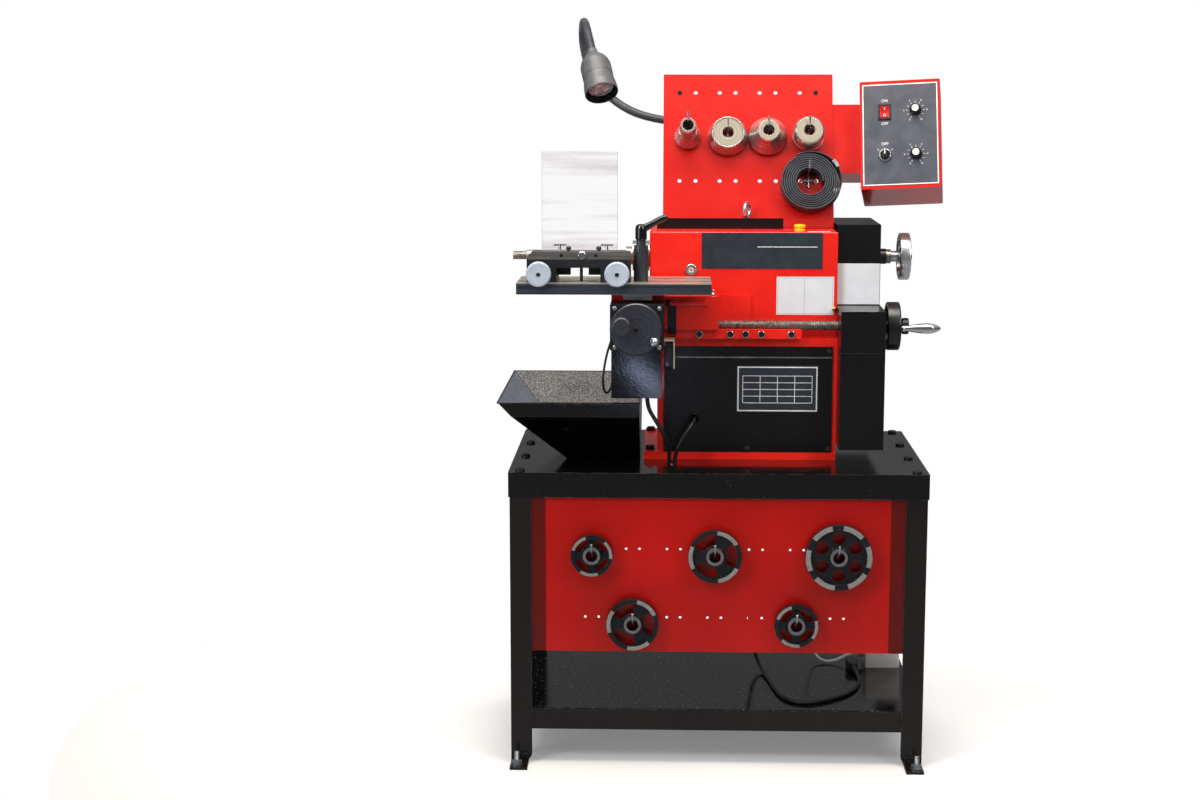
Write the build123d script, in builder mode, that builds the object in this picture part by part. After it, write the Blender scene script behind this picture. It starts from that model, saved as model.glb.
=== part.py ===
from build123d import *
import math
import os

os.makedirs("parts", exist_ok=True)

# Bench brake lathe on its stand, in millimetres.
# +X runs to the operator's right, +Y to the back, +Z up from the floor.

# Place of the bench's middle in the frame
MID_X = -20.0
MID_Y = 12.0

# Fits
TURN_GAP = 0.05
SLIDE_GAP = 0.3
SEAT_GAP = 0.02
SCREW_GAP = 0.5

# Bench
BENCH_W = 900.0
BENCH_D = 550.0
BENCH_H = 648.0
TOP_T = 4.0
APRON_H = 54.0
SKIRT_T = 3.0
TOP_CORNER_R = 4.0
LEG_W = 46.0
LEG_T = 4.0
LEG_CORNER_R = 18.0
RAIL_T = 4.0
RAIL_H = 46.0
RAIL_FLANGE = 38.0
RAIL_TOP = 123.0
RAIL_GAP = 0.2
SHELF_T = 2.0
PANEL_T = 2.0
PANEL_HALF = 440.0
PANEL_BOTTOM = BENCH_H - 394.5
PANEL_TOP = BENCH_H - 8.0
FOOT_T = 6.0
FOOT_W = 38.0
FOOT_OUT = BENCH_D / 2 + 45.0
FOOT_LONG = 94.0
TAB_T = 6.0
TAB_TOP = 24.0
ANCHOR_X = BENCH_W / 2 - 17.0
ANCHOR_Y = BENCH_D / 2 + 23.0
ANCHOR_R = 6.0
BOLT_R = 5.0
LEG_X = BENCH_W / 2 - SKIRT_T
LEG_Y = BENCH_D / 2 - SKIRT_T
LEG_TOP = BENCH_H - TOP_T
FACE_Y = LEG_Y - LEG_T
TOP_BOLT_X = BENCH_W / 2 - 25.0
TOP_BOLT_Y = BENCH_D / 2 - 23.0
TOP_BOLTS = [(side * TOP_BOLT_X, third * TOP_BOLT_Y / 3) for side in (-1, 1) for third in (-3, -1, 1, 3)]
BASE_BOLTS = [(-148, -70), (-148, 174)]
GROMMET = (-100.0, -157.0)
GROMMET_R = 12.0

# Hooks and the tooling hung on them
WIRE_R = 2.4
WIRE_BEND = 3.5
PEG_R = 2.8
PEG_PITCH = 88.0
PEG_MID = -6.0
PEG_HALF = 14.5
PEG_ROWS = (BENCH_H - 167.0, BENCH_H - 318.0)
TIP_RISE = 18.0
HUNG_GAP = 0.2
HUNG_BACK = 6.0
BORE_R = 12.7
RIM_T = 7.0
ADAPTER_DEEP = 24.0
WEB_T = 8.0
WEB_BACK = 7.0
HUB_R = 22.0
HUB_PROUD = 2.0
HUNG_DROP = BORE_R - WIRE_R - HUNG_GAP
# Adapters: pair along the panel and row, diameter, number of windows and of round holes
ADAPTER_INDEX = [(0, 0), (3, 0), (6, 0), (1, 1), (5, 1)]
ADAPTER_D = [90.0, 115.0, 143.0, 113.0, 94.0]
ADAPTER_COUNT = [(4, 0), (3, 0), (0, 6), (3, 0), (4, 0)]

# Chip hopper, each level with its height, its ends along X and its ends along Y
HOPPER_T = 2.0
HOPPER = [
    (BENCH_H, (-332.0, -169.0), (-105.0, 60.0)),
    (BENCH_H + 115.0, (-445.0, -169.0), (-240.0, 206.0)),
    (BENCH_H + 146.0, (-475.0, -169.0), (-240.0, 245.0)),
]

# Headstock casting
HEAD_RIGHT = 262.0
HEAD_BACK = 205.0
LOWER_LEFT = -132.0
LOWER_FRONT = -103.0
UPPER_LEFT = -150.0
UPPER_FRONT = -75.0
LEDGE_Z = BENCH_H + 270.0
HEAD_TOP = BENCH_H + 501.0
BASE_LEFT = -161.0
BASE_FRONT = -107.0
BASE_T = 16.0
BASE_TOP = BENCH_H + BASE_T
TOP_EDGE_R = 4.0
WAY_H = 18.0
WAY_BOTTOM = LEDGE_Z + 18.0
WAY_TOP = WAY_BOTTOM + WAY_H
WAY_DEEP = 14.0
FRONT_X = (-117.0, 252.0)
FRONT_Z = (BASE_TOP + 1.0, LEDGE_Z - 18.0)
FRONT_T = 3.0
SCREW_SIDE = (FRONT_X[0] + 7.0, FRONT_X[1] - 7.0)
SCREW_ROW = (FRONT_Z[0] + 9.0, FRONT_Z[1] - 9.0)
FRONT_SCREWS = [(x, z) for x in SCREW_SIDE for z in SCREW_ROW] + [(sum(SCREW_SIDE) / 2, SCREW_ROW[0])]
FRONT_SCREW_R = 2.5
GLAND = (-50.0, BENCH_H + 93.0)
GLAND_R = 10.0
SIGHT = (-59.0, HEAD_TOP - 84.0)
OIL = (180.0, -40.0)
COVER_T = 2.0
UPPER_COVER = ((HEAD_RIGHT, 357.0), (-59.0, 179.0), (BENCH_H + 339.0, HEAD_TOP + 15.0))
LOWER_COVER = ((HEAD_RIGHT, 358.0), (-191.0, 179.0), (BENCH_H + 38.0, UPPER_COVER[2][0]))

# Spindle and drive
SPINDLE_Y = 60.0
SPINDLE_Z = HEAD_TOP - 64.0
NOSE_R = 34.0
NOSE_X = -190.0
JOURNAL_R = 25.0
SEAT_R = 20.0
COLLAR_R = 16.0
SPINDLE_END = 391.0
DRAW_BORE_R = 8.5
SOCKET_R = 14.0
SOCKET_END = -131.0
BEARING_R = 40.0
BEARING_T = 18.0
ARBOR_R = 12.7
ARBOR_THREAD_R = 9.5
ARBOR_END = -461.0
ARBOR_SHOULDER_R = 20.5
DRAW_ROD_R = 8.0
WHEEL_R = 53.0
WHEEL_RING = 11.0
DRAW_WHEEL_X = (409.0, 433.0)
DRAW_HUB_R = 12.5
MOTOR_Z = BENCH_H + 142.0
MOTOR_R = 70.0
MOTOR_X = (-30.0, 180.0)
MOTOR_SHAFT_R = 9.5
PULLEY_X = (284.0, 316.0)
GROOVE_X = (293.0, 307.0)
BELT_X = (294.0, 306.0)
BELT_T = 8.0
BELT_GAP = 0.4
BIG_PULLEY_R = 70.0
BIG_GROOVE_R = 60.0
SMALL_PULLEY_R = 35.0
SMALL_GROOVE_R = 25.0

# Carriage
SCREW_Y = -93.0
SCREW_Z = LEDGE_Z + 27.0
SCREW_R = 11.0
END_Z = (SCREW_Z - 23.0, SCREW_Z + 23.0)
SCREW_X = (-148.0, 290.0)
SHANK_R = 9.0
SHANK_END = 417.0
KNOB_R = 18.0
FEED_WHEEL_X = (368.0, 397.0)
FEED_HUB_X = (360.0, 402.0)
FEED_HUB_R = 13.0
HANDLE_ARM = 44.0
HANDLE_X = (398.0, 481.0)
STUD_R = 4.0
SADDLE_X = (-116.0, 1.0)
SADDLE_Y = (-135.0, -80.0)
SADDLE_Z = (LEDGE_Z + 22.0, LEDGE_Z + 94.0)
SADDLE_PLATE_RIGHT = 73.0
SLIDE_RIGHT = 183.0
SLIDE_FRONT = -106.0
SLIDE_TOP = LEDGE_Z + 14.5
ARM_X = (-231.0, -116.0)
ARM_Y = (-195.0, -80.0)
ARM_Z = (LEDGE_Z + 42.0, LEDGE_Z + 113.0)
TENON_X = (-205.0, -143.0)
TENON_BOTTOM = ARM_Z[1] - 16.0
GIB_X = (-92.0, 183.0)
GIB_Y = (-122.0, -106.0)
GIB_Z = (LEDGE_Z + 1.0, LEDGE_Z + 21.0)
GIB_SCREWS = (-41, 27, 60, 95, 160)
GIB_SCREW_Z = LEDGE_Z + 11.0
CAP_R = 6.5
GEAR_X = (-231.0, -117.0)
GEAR_Y = (-293.0, -195.0)
GEAR_Z = (LEDGE_Z - 3.0, LEDGE_Z + 92.0)
PLATE_T = 4.0
FEED_MOTOR_X = (-228.0, -122.0)
FEED_MOTOR_Y = (-288.0, -195.0)
FEED_MOTOR_Z = (LEDGE_Z - 106.0, LEDGE_Z - 14.0)
DISC_X = -176.0
DISC_Z = LEDGE_Z + 43.0
DISC_R = 55.0
DISC_Y = (-312.0, -298.0)
DISC_SHAFT_R = 8.0
DISC_KNOB = (-206.0, DISC_Z + 8.5)
DISC_KNOB_R = 21.0

# Cross slide, twin cutter and shield
TABLE_X = (-429.0, -18.0)
TABLE_Y = (-285.0, -120.0)
TABLE_TOP = ARM_Z[1] + 24.0
TENON_Y = (-238.0, -115.0)
T_SLOTS = (-235.0, -165.0)
T_SLOT_W = 12.0
T_SLOT_UNDER_W = 20.0
T_SLOT_NECK = 7.0
T_SLOT_DEEP = 14.0
CUTTER_MID = -298.5
CUTTER_OUT = 109.5
CUTTER_IN = 46.5
CUTTER_Y = (-264.0, -165.0)
CUTTER_TOP = TABLE_TOP + 48.0
BRIDGE_Y = (-264.0, -215.0)
BRIDGE_Z = TABLE_TOP + 31.0
BAR_Y = (-258.0, -222.0)
BAR_TOP = CUTTER_TOP + 17.0
HOLDER_Y = (-212.0, -188.0)
HOLDER_Z = (TABLE_TOP + 11.0, TABLE_TOP + 31.0)
HOLDER_OUT = 81.5
HOLDER_IN = 19.5
POCKET_OUT = 93.5
DIAL_OUT = 82.3
DIAL_Z = TABLE_TOP + 20.4
DIAL_R = 26.5
DIAL_Y = (-305.0, -291.0)
DIAL_HUB_R = 11.0
DIAL_SHAFT_R = 5.0
DIAL_SHAFT_END = -244.0
SHIELD_X = (-378.0, -217.0)
SHIELD_T = 5.0
SHIELD_TOP = CUTTER_TOP + 227.0
SHIELD_CORNER_R = 12.0
POST_X = -167.0
POST_Y = -228.0
POST_R = 15.5
POST_TOP = TABLE_TOP + 76.0
NECK_R = 10.0
NECK_TOP = POST_TOP + 11.0
LEVER_HUB_R = 12.0
LEVER_TOP = NECK_TOP + 34.0
LEVER_STUD_R = 5.0

# Tool board, lamp and control box
BOARD_X = (-122.0, 261.5)
BOARD_FOOT_Y = 40.0
BOARD_LEAN = 19.0
BOARD_LONG = 361.0
BOARD_T = 3.0
BOARD_FLANGE = 15.0
BOARD_PEG_HALF = 18.0
BOARD_PAIRS = (-67.0, 23.5, 114.0, 205.0)
BOARD_ROWS = (110.0, 211.5, 317.5)
BOARD_HOLE_R = 4.6
BRACKET_X = (-135.0, 147.0)
BRACKET_Y = (12.0, 38.5)
BRACKET_T = 4.0
BRACKET_H = 24.0
EYE_X = 66.0
EYE_Y = 27.0
EYE_R = 15.0
EYE_WIRE_R = 4.5
EYE_RISE = 41.0
EYE_TURN = math.radians(66)
ROLL_TURNS = 7
ROLL_IN_R = 29.0
ROLL_PITCH = 5.0
ROLL_T = 4.3
ROLL_W = 38.0
ROLL_RISE = 15.0
BOX_W = 178.0
BOX_H = 250.0
BOX_DEEP = 140.0
BOX_T = 2.0
BOX_FACE = (406.0, 49.0, HEAD_TOP + 210.0)
BOX_YAW = 8.6
ARM_SLOPE = (129.0, 291.0)
ARM_DEEP = (-80.0, -4.0)
ARM_END = 350.0
CONTROL_X = 34.0
ROCKER_V = 52.0
ROCKER_W = 20.0
ROCKER_H = 26.0
SELECTOR_V = -47.5
SPEED_V = 54.0
RATE_V = -47.5
KNOB_SHAFT_R = 3.0
SELECTOR_SHAFT_R = 5.0
GOOSENECK_R = 9.5
GOOSENECK_RUN = 74.0
NECK_RIB_COUNT = 150
NECK_ROOT_R = 8.3
NECK_BORE_R = 6.0
LAMP_R = 37.0
LAMP_LONG = 116.0
LAMP_NECK = (-281.0, 44.0, HEAD_TOP + 391.0)
LAMP_AIM = Vector(0.203, -0.59, -0.782).normalized()

# Cords
FEED_CORD_R = 4.5
SENSOR_CORD_R = 2.5
MAINS_R = 4.0
WHITE_CORD_R = 3.5
BEND_SHARE = 0.45
SUPPLY_X = BENCH_W / 2 - 109.0


def spot(x, y, z):
    """Point measured from the bench's middle on the floor."""
    return Vector(MID_X + x, MID_Y + y, z)


def flat(z):
    """Level plane at a height, with its origin over the bench's middle."""
    return Plane((MID_X, MID_Y, z))


def across(x):
    """Upright plane facing right, with local x to the back and local y up."""
    return Plane((MID_X + x, MID_Y, 0), x_dir=(0, 1, 0), z_dir=(1, 0, 0))


def facing(x, y, z):
    """Upright plane facing the front, with its origin at a point."""
    return Plane(spot(x, y, z), x_dir=(1, 0, 0), z_dir=(0, -1, 0))


def shifted(plane, x=0.0, y=0.0, z=0.0):
    """The same plane with its origin moved in its own axes."""
    origin = plane.origin + plane.x_dir * x + plane.y_dir * y + plane.z_dir * z
    return Plane(origin, x_dir=plane.x_dir, z_dir=plane.z_dir)


def span(side, outer, width):
    """Ends of a strip whose outer edge lies at outer on one side of the middle."""
    return tuple(sorted((side * outer, side * (outer - width))))


def block(x, y, z, mode=Mode.ADD):
    """Box between two ends on each axis, measured from the bench's middle."""
    with Locations(spot((x[0] + x[1]) / 2, (y[0] + y[1]) / 2, (z[0] + z[1]) / 2)):
        Box(x[1] - x[0], y[1] - y[0], z[1] - z[0], mode=mode)


def bar(radius, start, end, mode=Mode.ADD):
    """Round bar from one point of the frame to another."""
    with Locations(Plane(start, z_dir=end - start)):
        Cylinder(radius, (end - start).length, align=(Align.CENTER, Align.CENTER, Align.MIN), mode=mode)


def x_bar(radius, x, y, z, mode=Mode.ADD):
    """Round bar along X between two ends."""
    bar(radius, spot(x[0], y, z), spot(x[1], y, z), mode)


def y_bar(radius, x, y, z, mode=Mode.ADD):
    """Round bar along Y between two ends."""
    bar(radius, spot(x, y[0], z), spot(x, y[1], z), mode)


def z_bar(radius, x, y, z, mode=Mode.ADD):
    """Round bar along Z between two ends."""
    bar(radius, spot(x, y, z[0]), spot(x, y, z[1]), mode)


def turned(start, aim, profile, mode=Mode.ADD):
    """Turned solid from pairs of distance along the axis and radius."""
    side = Vector(0, 0, 1) if abs(aim.Z) < 0.9 else Vector(0, 1, 0)
    with BuildSketch(Plane(start, x_dir=aim, z_dir=aim.cross(side))) as section:
        with BuildLine():
            Polyline(*profile, close=True)
        make_face()
    revolve(section.sketch, axis=Axis(start, aim), mode=mode)


def wire(radius, bend, *points):
    """Bent round wire through the points."""
    with BuildLine() as route:
        FilletPolyline(*points, radius=bend)
    with BuildSketch(Plane(points[0], z_dir=points[1] - points[0])) as section:
        Circle(radius)
    sweep(section.sketch, path=route.wires()[0])


def hook(face, half, rise, reach, sheet):
    """Wire hook on a pegged sheet: two pegs, a cross wire, a brace, a riser and a prong with a raised tip."""
    out = WIRE_R + SLIDE_GAP
    places = [(-half, 0, -sheet - 6), (-half, 0, out), (half, 0, out), (half, 0, -sheet - 6)]
    prong = [(0, -16, out), (0, rise, out), (0, rise, reach), (0, rise + TIP_RISE, reach + TIP_RISE / 2)]
    wire(WIRE_R, WIRE_BEND, *(shifted(face, *place).origin for place in places))
    wire(WIRE_R, WIRE_BEND, *(shifted(face, *place).origin for place in prong))


def adapter(back, diameter, windows, holes):
    """Drum adapter: deep rim, web with windows or round holes, bored hub."""
    rim = diameter / 2
    inner = HUB_R + 2
    outer = rim - RIM_T - 3
    with BuildSketch(back) as ring:
        Circle(rim)
        Circle(rim - RIM_T, mode=Mode.SUBTRACT)
    extrude(ring.sketch, amount=ADAPTER_DEEP)
    with BuildSketch(shifted(back, z=WEB_BACK)) as web:
        Circle(rim - RIM_T / 2)
        if windows:
            Circle(outer, mode=Mode.SUBTRACT)
            Circle(inner)
            with PolarLocations((outer + inner) / 2, windows, start_angle=90):
                Rectangle(outer - inner + 4, 0.9 * outer * 2 / windows)
        if holes:
            with PolarLocations((outer + inner) / 2, holes):
                Circle(11, mode=Mode.SUBTRACT)
    extrude(web.sketch, amount=WEB_T)
    hub_end = shifted(back, z=ADAPTER_DEEP + HUB_PROUD).origin
    bar(HUB_R, back.origin, hub_end)
    bar(BORE_R, back.origin, hub_end, mode=Mode.SUBTRACT)


def hand_wheel(x, rim_x, hub_r, y, z):
    """Hand wheel along X: round rim ring, thin web with four holes, hub."""
    mid = (rim_x[0] + rim_x[1]) / 2
    x_bar(WHEEL_R, rim_x, y, z)
    x_bar(WHEEL_R - WHEEL_RING, rim_x, y, z, mode=Mode.SUBTRACT)
    x_bar(WHEEL_R - WHEEL_RING / 2, (mid - 4, mid + 4), y, z)
    with BuildSketch(shifted(across(mid - 4), x=y, y=z)) as windows:
        with PolarLocations((hub_r + WHEEL_R - WHEEL_RING) / 2, 4, start_angle=45):
            Circle(9)
    extrude(windows.sketch, amount=8, mode=Mode.SUBTRACT)
    x_bar(hub_r, x, y, z)


def pulley(x, groove_x, rim_r, groove_r, y, z):
    """Grooved belt pulley along X."""
    x_bar(rim_r, x, y, z)
    with BuildSketch(shifted(across(groove_x[0]), x=y, y=z)) as groove:
        Circle(rim_r + 1)
        Circle(groove_r, mode=Mode.SUBTRACT)
    extrude(groove.sketch, amount=groove_x[1] - groove_x[0], mode=Mode.SUBTRACT)


def corner_radii(points):
    """Bend radius at each inner point, as wide as its shorter run allows."""
    radii = []
    for before, here, after in zip(points, points[1:], points[2:]):
        half_turn = math.radians((here - before).get_angle(after - here)) / 2
        shorter = min((here - before).length, (after - here).length)
        radii.append(BEND_SHARE * shorter / math.tan(half_turn))
    return radii


def cord(name, radius, points):
    """Round cord through the points, with tangent bends."""
    radii = corner_radii(points)
    with BuildLine() as route:
        FilletPolyline(*points, radius=radii)
    with BuildSketch(Plane(points[0], z_dir=points[1] - points[0])) as section:
        Circle(radius)
    sweep(section.sketch, path=route.wires()[0])
    length = route.wires()[0].length
    print(name, "least bend", round(min(radii) / (2 * radius), 1), "diameters, length", round(length))
    print(name, "section by length", round(math.pi * radius**2 * length))


def ribbed_hose(name, radius, root, bore, count, points):
    """Bored hose with ribs, lofted through four circles a rib, plain for one diameter at each end."""
    radii = corner_radii(points)
    with BuildLine() as route:
        FilletPolyline(*points, radius=radii)
    path = route.wires()[0]
    lead = 2 * radius
    pitch = (path.length - 2 * lead) / count
    rings = [(0, root), (lead, root)]
    for rib in range(count):
        begin = lead + rib * pitch
        rings += [(begin + 0.22 * pitch, root), (begin + 0.42 * pitch, radius)]
        rings += [(begin + 0.8 * pitch, radius), (begin + pitch, root)]
    rings.append((path.length, root))
    side = Vector(1, 0, 0)
    sections = []
    for along, ring in rings:
        aim = path.tangent_at(along / path.length)
        side = (side - aim * side.dot(aim)).normalized()
        with BuildSketch(Plane(path.position_at(along / path.length), x_dir=side, z_dir=aim)) as section:
            Circle(ring)
        sections.append(section.sketch.face())
    loft(sections, ruled=True)
    with BuildSketch(Plane(points[0], z_dir=points[1] - points[0])) as hollow:
        Circle(bore)
    sweep(hollow.sketch, path=path, mode=Mode.SUBTRACT)
    print(name, "ribs", count, "pitch", round(pitch, 2), "least bend", round(min(radii) / (2 * radius), 1), "diameters")
    print(name, "length", round(path.length))


def finish(builder, name):
    """Names a finished piece and writes it."""
    builder.part.label = name
    export_step(builder.part, f"parts/{name}.step")


RIGHT = Vector(1, 0, 0)
BACK = Vector(0, 1, 0)
UP = Vector(0, 0, 1)

# Sloping faces of the tool board and of the control box
LEAN_S = math.sin(math.radians(BOARD_LEAN))
LEAN_C = math.cos(math.radians(BOARD_LEAN))
BOARD_OUT = Vector(0, -LEAN_C, LEAN_S)
BOARD = Plane(spot(0, BOARD_FOOT_Y, HEAD_TOP), x_dir=(1, 0, 0), z_dir=BOARD_OUT)
YAW_S = math.sin(math.radians(BOX_YAW))
YAW_C = math.cos(math.radians(BOX_YAW))
BOX_OUT = BOARD_OUT * YAW_C - RIGHT * YAW_S
BOX = Plane(spot(*BOX_FACE), x_dir=RIGHT * YAW_C + BOARD_OUT * YAW_S, z_dir=BOX_OUT)

# Bench top: folded plate with a deep apron
with BuildPart() as bench_top:
    block((-BENCH_W / 2, BENCH_W / 2), (-BENCH_D / 2, BENCH_D / 2), (BENCH_H - APRON_H, BENCH_H))
    fillet(bench_top.edges().filter_by(Axis.Z), TOP_CORNER_R)
    block((-LEG_X, LEG_X), (-LEG_Y, LEG_Y), (BENCH_H - APRON_H, LEG_TOP), mode=Mode.SUBTRACT)
    with Locations(*(spot(x, y, BENCH_H) for x, y in TOP_BOLTS + BASE_BOLTS)):
        Hole(BOLT_R + SCREW_GAP)
    with Locations(spot(*GROMMET, BENCH_H)):
        Hole(GROMMET_R)
finish(bench_top, "bench_top")

# Bench frame: four angle legs and four angle rails
with BuildPart() as bench_frame:
    for side in (-1, 1):
        for end in (-1, 1):
            block(span(side, LEG_X, LEG_W), span(end, LEG_Y, LEG_T), (FOOT_T, LEG_TOP))
            block(span(side, LEG_X, LEG_T), span(end, LEG_Y, LEG_W), (FOOT_T, LEG_TOP))
    low = bench_frame.edges().filter_by(lambda e: abs(e.length - LEG_T) < 0.01)
    fillet(low.filter_by(lambda e: abs(e.center().Z - FOOT_T) < 0.01), LEG_CORNER_R)
    rail_x = LEG_X - LEG_T - RAIL_GAP
    rail_y = FACE_Y - RAIL_GAP
    side_half = rail_y - RAIL_FLANGE - RAIL_GAP
    for side in (-1, 1):
        block((-rail_x, rail_x), span(side, rail_y, RAIL_T), (RAIL_TOP - RAIL_H, RAIL_TOP))
        block((-rail_x, rail_x), span(side, rail_y, RAIL_FLANGE), (RAIL_TOP - RAIL_T, RAIL_TOP))
        block(span(side, rail_x, RAIL_T), (-side_half, side_half), (RAIL_TOP - RAIL_H, RAIL_TOP))
        block(span(side, rail_x, RAIL_FLANGE), (-side_half, side_half), (RAIL_TOP - RAIL_T, RAIL_TOP))
finish(bench_frame, "bench_frame")

# Shelf sheet on the rails
with BuildPart() as bench_shelf:
    block((-rail_x + 1, rail_x - 1), (-rail_y + 1, rail_y - 1), (RAIL_TOP, RAIL_TOP + SHELF_T))
finish(bench_shelf, "bench_shelf")

# Pegged front panel
with BuildPart() as bench_panel:
    block((-PANEL_HALF, PANEL_HALF), (-FACE_Y, -FACE_Y + PANEL_T), (PANEL_BOTTOM, PANEL_TOP))
    for row in PEG_ROWS:
        for pair in range(7):
            for half in (-PEG_HALF, PEG_HALF):
                with Locations(facing(PEG_MID + PEG_PITCH * (pair - 3) + half, -FACE_Y, row)):
                    Hole(PEG_R)
finish(bench_panel, "bench_panel")

# Floor plates with an upright tab and an anchor hole
with BuildPart() as anchor_feet:
    for side in (-1, 1):
        for end in (-1, 1):
            block(span(side, LEG_X, FOOT_W), span(end, FOOT_OUT, FOOT_LONG), (0, FOOT_T))
            block(span(side, LEG_X - 7, FOOT_W - 8), span(end, LEG_Y + TAB_T, TAB_T), (FOOT_T, TAB_TOP))
            with Locations(spot(side * ANCHOR_X, end * ANCHOR_Y, FOOT_T)):
                Hole(ANCHOR_R + SCREW_GAP)
finish(anchor_feet, "anchor_feet")

# Bolts of the bench: domed top bolts, hexagon base bolts, floor anchors
with BuildPart() as bench_bolts:
    dome = [(-14, 0), (-14, BOLT_R), (0, BOLT_R), (0, 10), (2.5, 10), (5, 7.5), (6, 4), (6, 0)]
    for x, y in TOP_BOLTS:
        turned(spot(x, y, BENCH_H), UP, dome)
    for x, y in BASE_BOLTS:
        z_bar(BOLT_R, x, y, (BENCH_H - 14, BASE_TOP))
        z_bar(11, x, y, (BASE_TOP, BASE_TOP + 2))
        with BuildSketch(shifted(flat(BASE_TOP + 2), x=x, y=y)):
            RegularPolygon(9.5, 6)
        extrude(amount=7)
    for side in (-1, 1):
        for end in (-1, 1):
            z_bar(ANCHOR_R, side * ANCHOR_X, end * ANCHOR_Y, (0, 36))
            z_bar(13.5, side * ANCHOR_X, end * ANCHOR_Y, (FOOT_T, FOOT_T + 2.5))
            with BuildSketch(shifted(flat(FOOT_T + 2.5), x=side * ANCHOR_X, y=end * ANCHOR_Y)):
                RegularPolygon(11, 6)
            extrude(amount=9)
finish(bench_bolts, "bench_bolts")

# Wire hooks on the bench panel and on the tool board
with BuildPart() as tool_hooks:
    for pair, row in ADAPTER_INDEX:
        face = facing(PEG_MID + PEG_PITCH * (pair - 3), -FACE_Y, PEG_ROWS[row])
        hook(face, PEG_HALF, 0, HUNG_BACK + ADAPTER_DEEP + 5, PANEL_T)
    for place, reach in zip(BOARD_PAIRS, (98, 50, 64, 64)):
        hook(shifted(BOARD, place, BOARD_ROWS[1]), BOARD_PEG_HALF, HUNG_DROP, reach, BOARD_T)
    hook(shifted(BOARD, BOARD_PAIRS[3], BOARD_ROWS[0]), BOARD_PEG_HALF, ROLL_RISE, ROLL_W + 12, BOARD_T)
finish(tool_hooks, "tool_hooks")

# Drum adapters hung on the bench panel
with BuildPart() as drum_adapters:
    for (pair, row), diameter, (windows, holes) in zip(ADAPTER_INDEX, ADAPTER_D, ADAPTER_COUNT):
        face = facing(PEG_MID + PEG_PITCH * (pair - 3), -FACE_Y, PEG_ROWS[row])
        adapter(shifted(face, y=-HUNG_DROP, z=HUNG_BACK), diameter, windows, holes)
finish(drum_adapters, "drum_adapters")

# Chip hopper: folded funnel, open at the top
with BuildPart() as chip_hopper:
    for z, x, y in HOPPER:
        with BuildSketch(shifted(flat(z), x=(x[0] + x[1]) / 2, y=(y[0] + y[1]) / 2)):
            Rectangle(x[1] - x[0], y[1] - y[0])
    loft(ruled=True)
    for z, x, y in HOPPER:
        rise = z + HOPPER_T if z == BENCH_H else z
        with BuildSketch(shifted(flat(rise), x=(x[0] + x[1]) / 2, y=(y[0] + y[1]) / 2)):
            Rectangle(x[1] - x[0] - 2 * HOPPER_T, y[1] - y[0] - 2 * HOPPER_T)
    loft(ruled=True, mode=Mode.SUBTRACT)
finish(chip_hopper, "chip_hopper")

# Headstock casting: base flange, lower box with the front window, upper spindle box
with BuildPart() as headstock_casting:
    block((UPPER_LEFT, HEAD_RIGHT), (UPPER_FRONT, HEAD_BACK), (LEDGE_Z, HEAD_TOP))
    fillet(headstock_casting.faces().sort_by(Axis.Z)[-1].edges(), TOP_EDGE_R)
    block((LOWER_LEFT, HEAD_RIGHT), (LOWER_FRONT, HEAD_BACK), (BENCH_H, LEDGE_Z))
    block((BASE_LEFT, HEAD_RIGHT), (BASE_FRONT, HEAD_BACK), (BENCH_H, BASE_TOP))
    block((LOWER_LEFT + 14, HEAD_RIGHT - 14), (LOWER_FRONT + 13, HEAD_BACK - 15), (BASE_TOP, LEDGE_Z - 14),
          mode=Mode.SUBTRACT)
    block((UPPER_LEFT + 24, HEAD_RIGHT - 24), (UPPER_FRONT + 30, HEAD_BACK - 15), (LEDGE_Z + 14, HEAD_TOP - 19),
          mode=Mode.SUBTRACT)
    block((-60, 180), (0, 150), (LEDGE_Z - 20, LEDGE_Z + 20), mode=Mode.SUBTRACT)
    block((FRONT_X[0] + 20, FRONT_X[1] - 20), (LOWER_FRONT - 1, LOWER_FRONT + 14), (FRONT_Z[0] + 20, FRONT_Z[1] - 20),
          mode=Mode.SUBTRACT)
    block((UPPER_LEFT - 1, HEAD_RIGHT - 15), (UPPER_FRONT - 1, UPPER_FRONT + WAY_DEEP), (WAY_BOTTOM, WAY_TOP),
          mode=Mode.SUBTRACT)
    x_bar(BEARING_R + SEAT_GAP, (UPPER_LEFT - 1, HEAD_RIGHT + 1), SPINDLE_Y, SPINDLE_Z, mode=Mode.SUBTRACT)
    x_bar(22, (HEAD_RIGHT - 20, HEAD_RIGHT + 1), SPINDLE_Y, MOTOR_Z, mode=Mode.SUBTRACT)
    block((HEAD_RIGHT, HEAD_RIGHT + 24), (UPPER_FRONT + 1, UPPER_FRONT + 26), END_Z)
    block((HEAD_RIGHT + 4, HEAD_RIGHT + 24), (SCREW_Y - 20, UPPER_FRONT + 1), END_Z)
    x_bar(SCREW_R + TURN_GAP, (HEAD_RIGHT + 3, HEAD_RIGHT + 25), SCREW_Y, SCREW_Z, mode=Mode.SUBTRACT)
    with Locations(*(spot(x, y, BASE_TOP) for x, y in BASE_BOLTS)):
        Hole(BOLT_R + SCREW_GAP)
    for x, z in FRONT_SCREWS:
        y_bar(FRONT_SCREW_R + SEAT_GAP, x, (LOWER_FRONT - 1, LOWER_FRONT + 9), z, mode=Mode.SUBTRACT)
    z_bar(8, *OIL, (HEAD_TOP - 14, HEAD_TOP + 1), mode=Mode.SUBTRACT)
    z_bar(5.2, EYE_X, EYE_Y, (HEAD_TOP - 16, HEAD_TOP + 1), mode=Mode.SUBTRACT)
    y_bar(9, SIGHT[0], (UPPER_FRONT - 1, UPPER_FRONT + 8), SIGHT[1], mode=Mode.SUBTRACT)
finish(headstock_casting, "headstock_casting")

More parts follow.
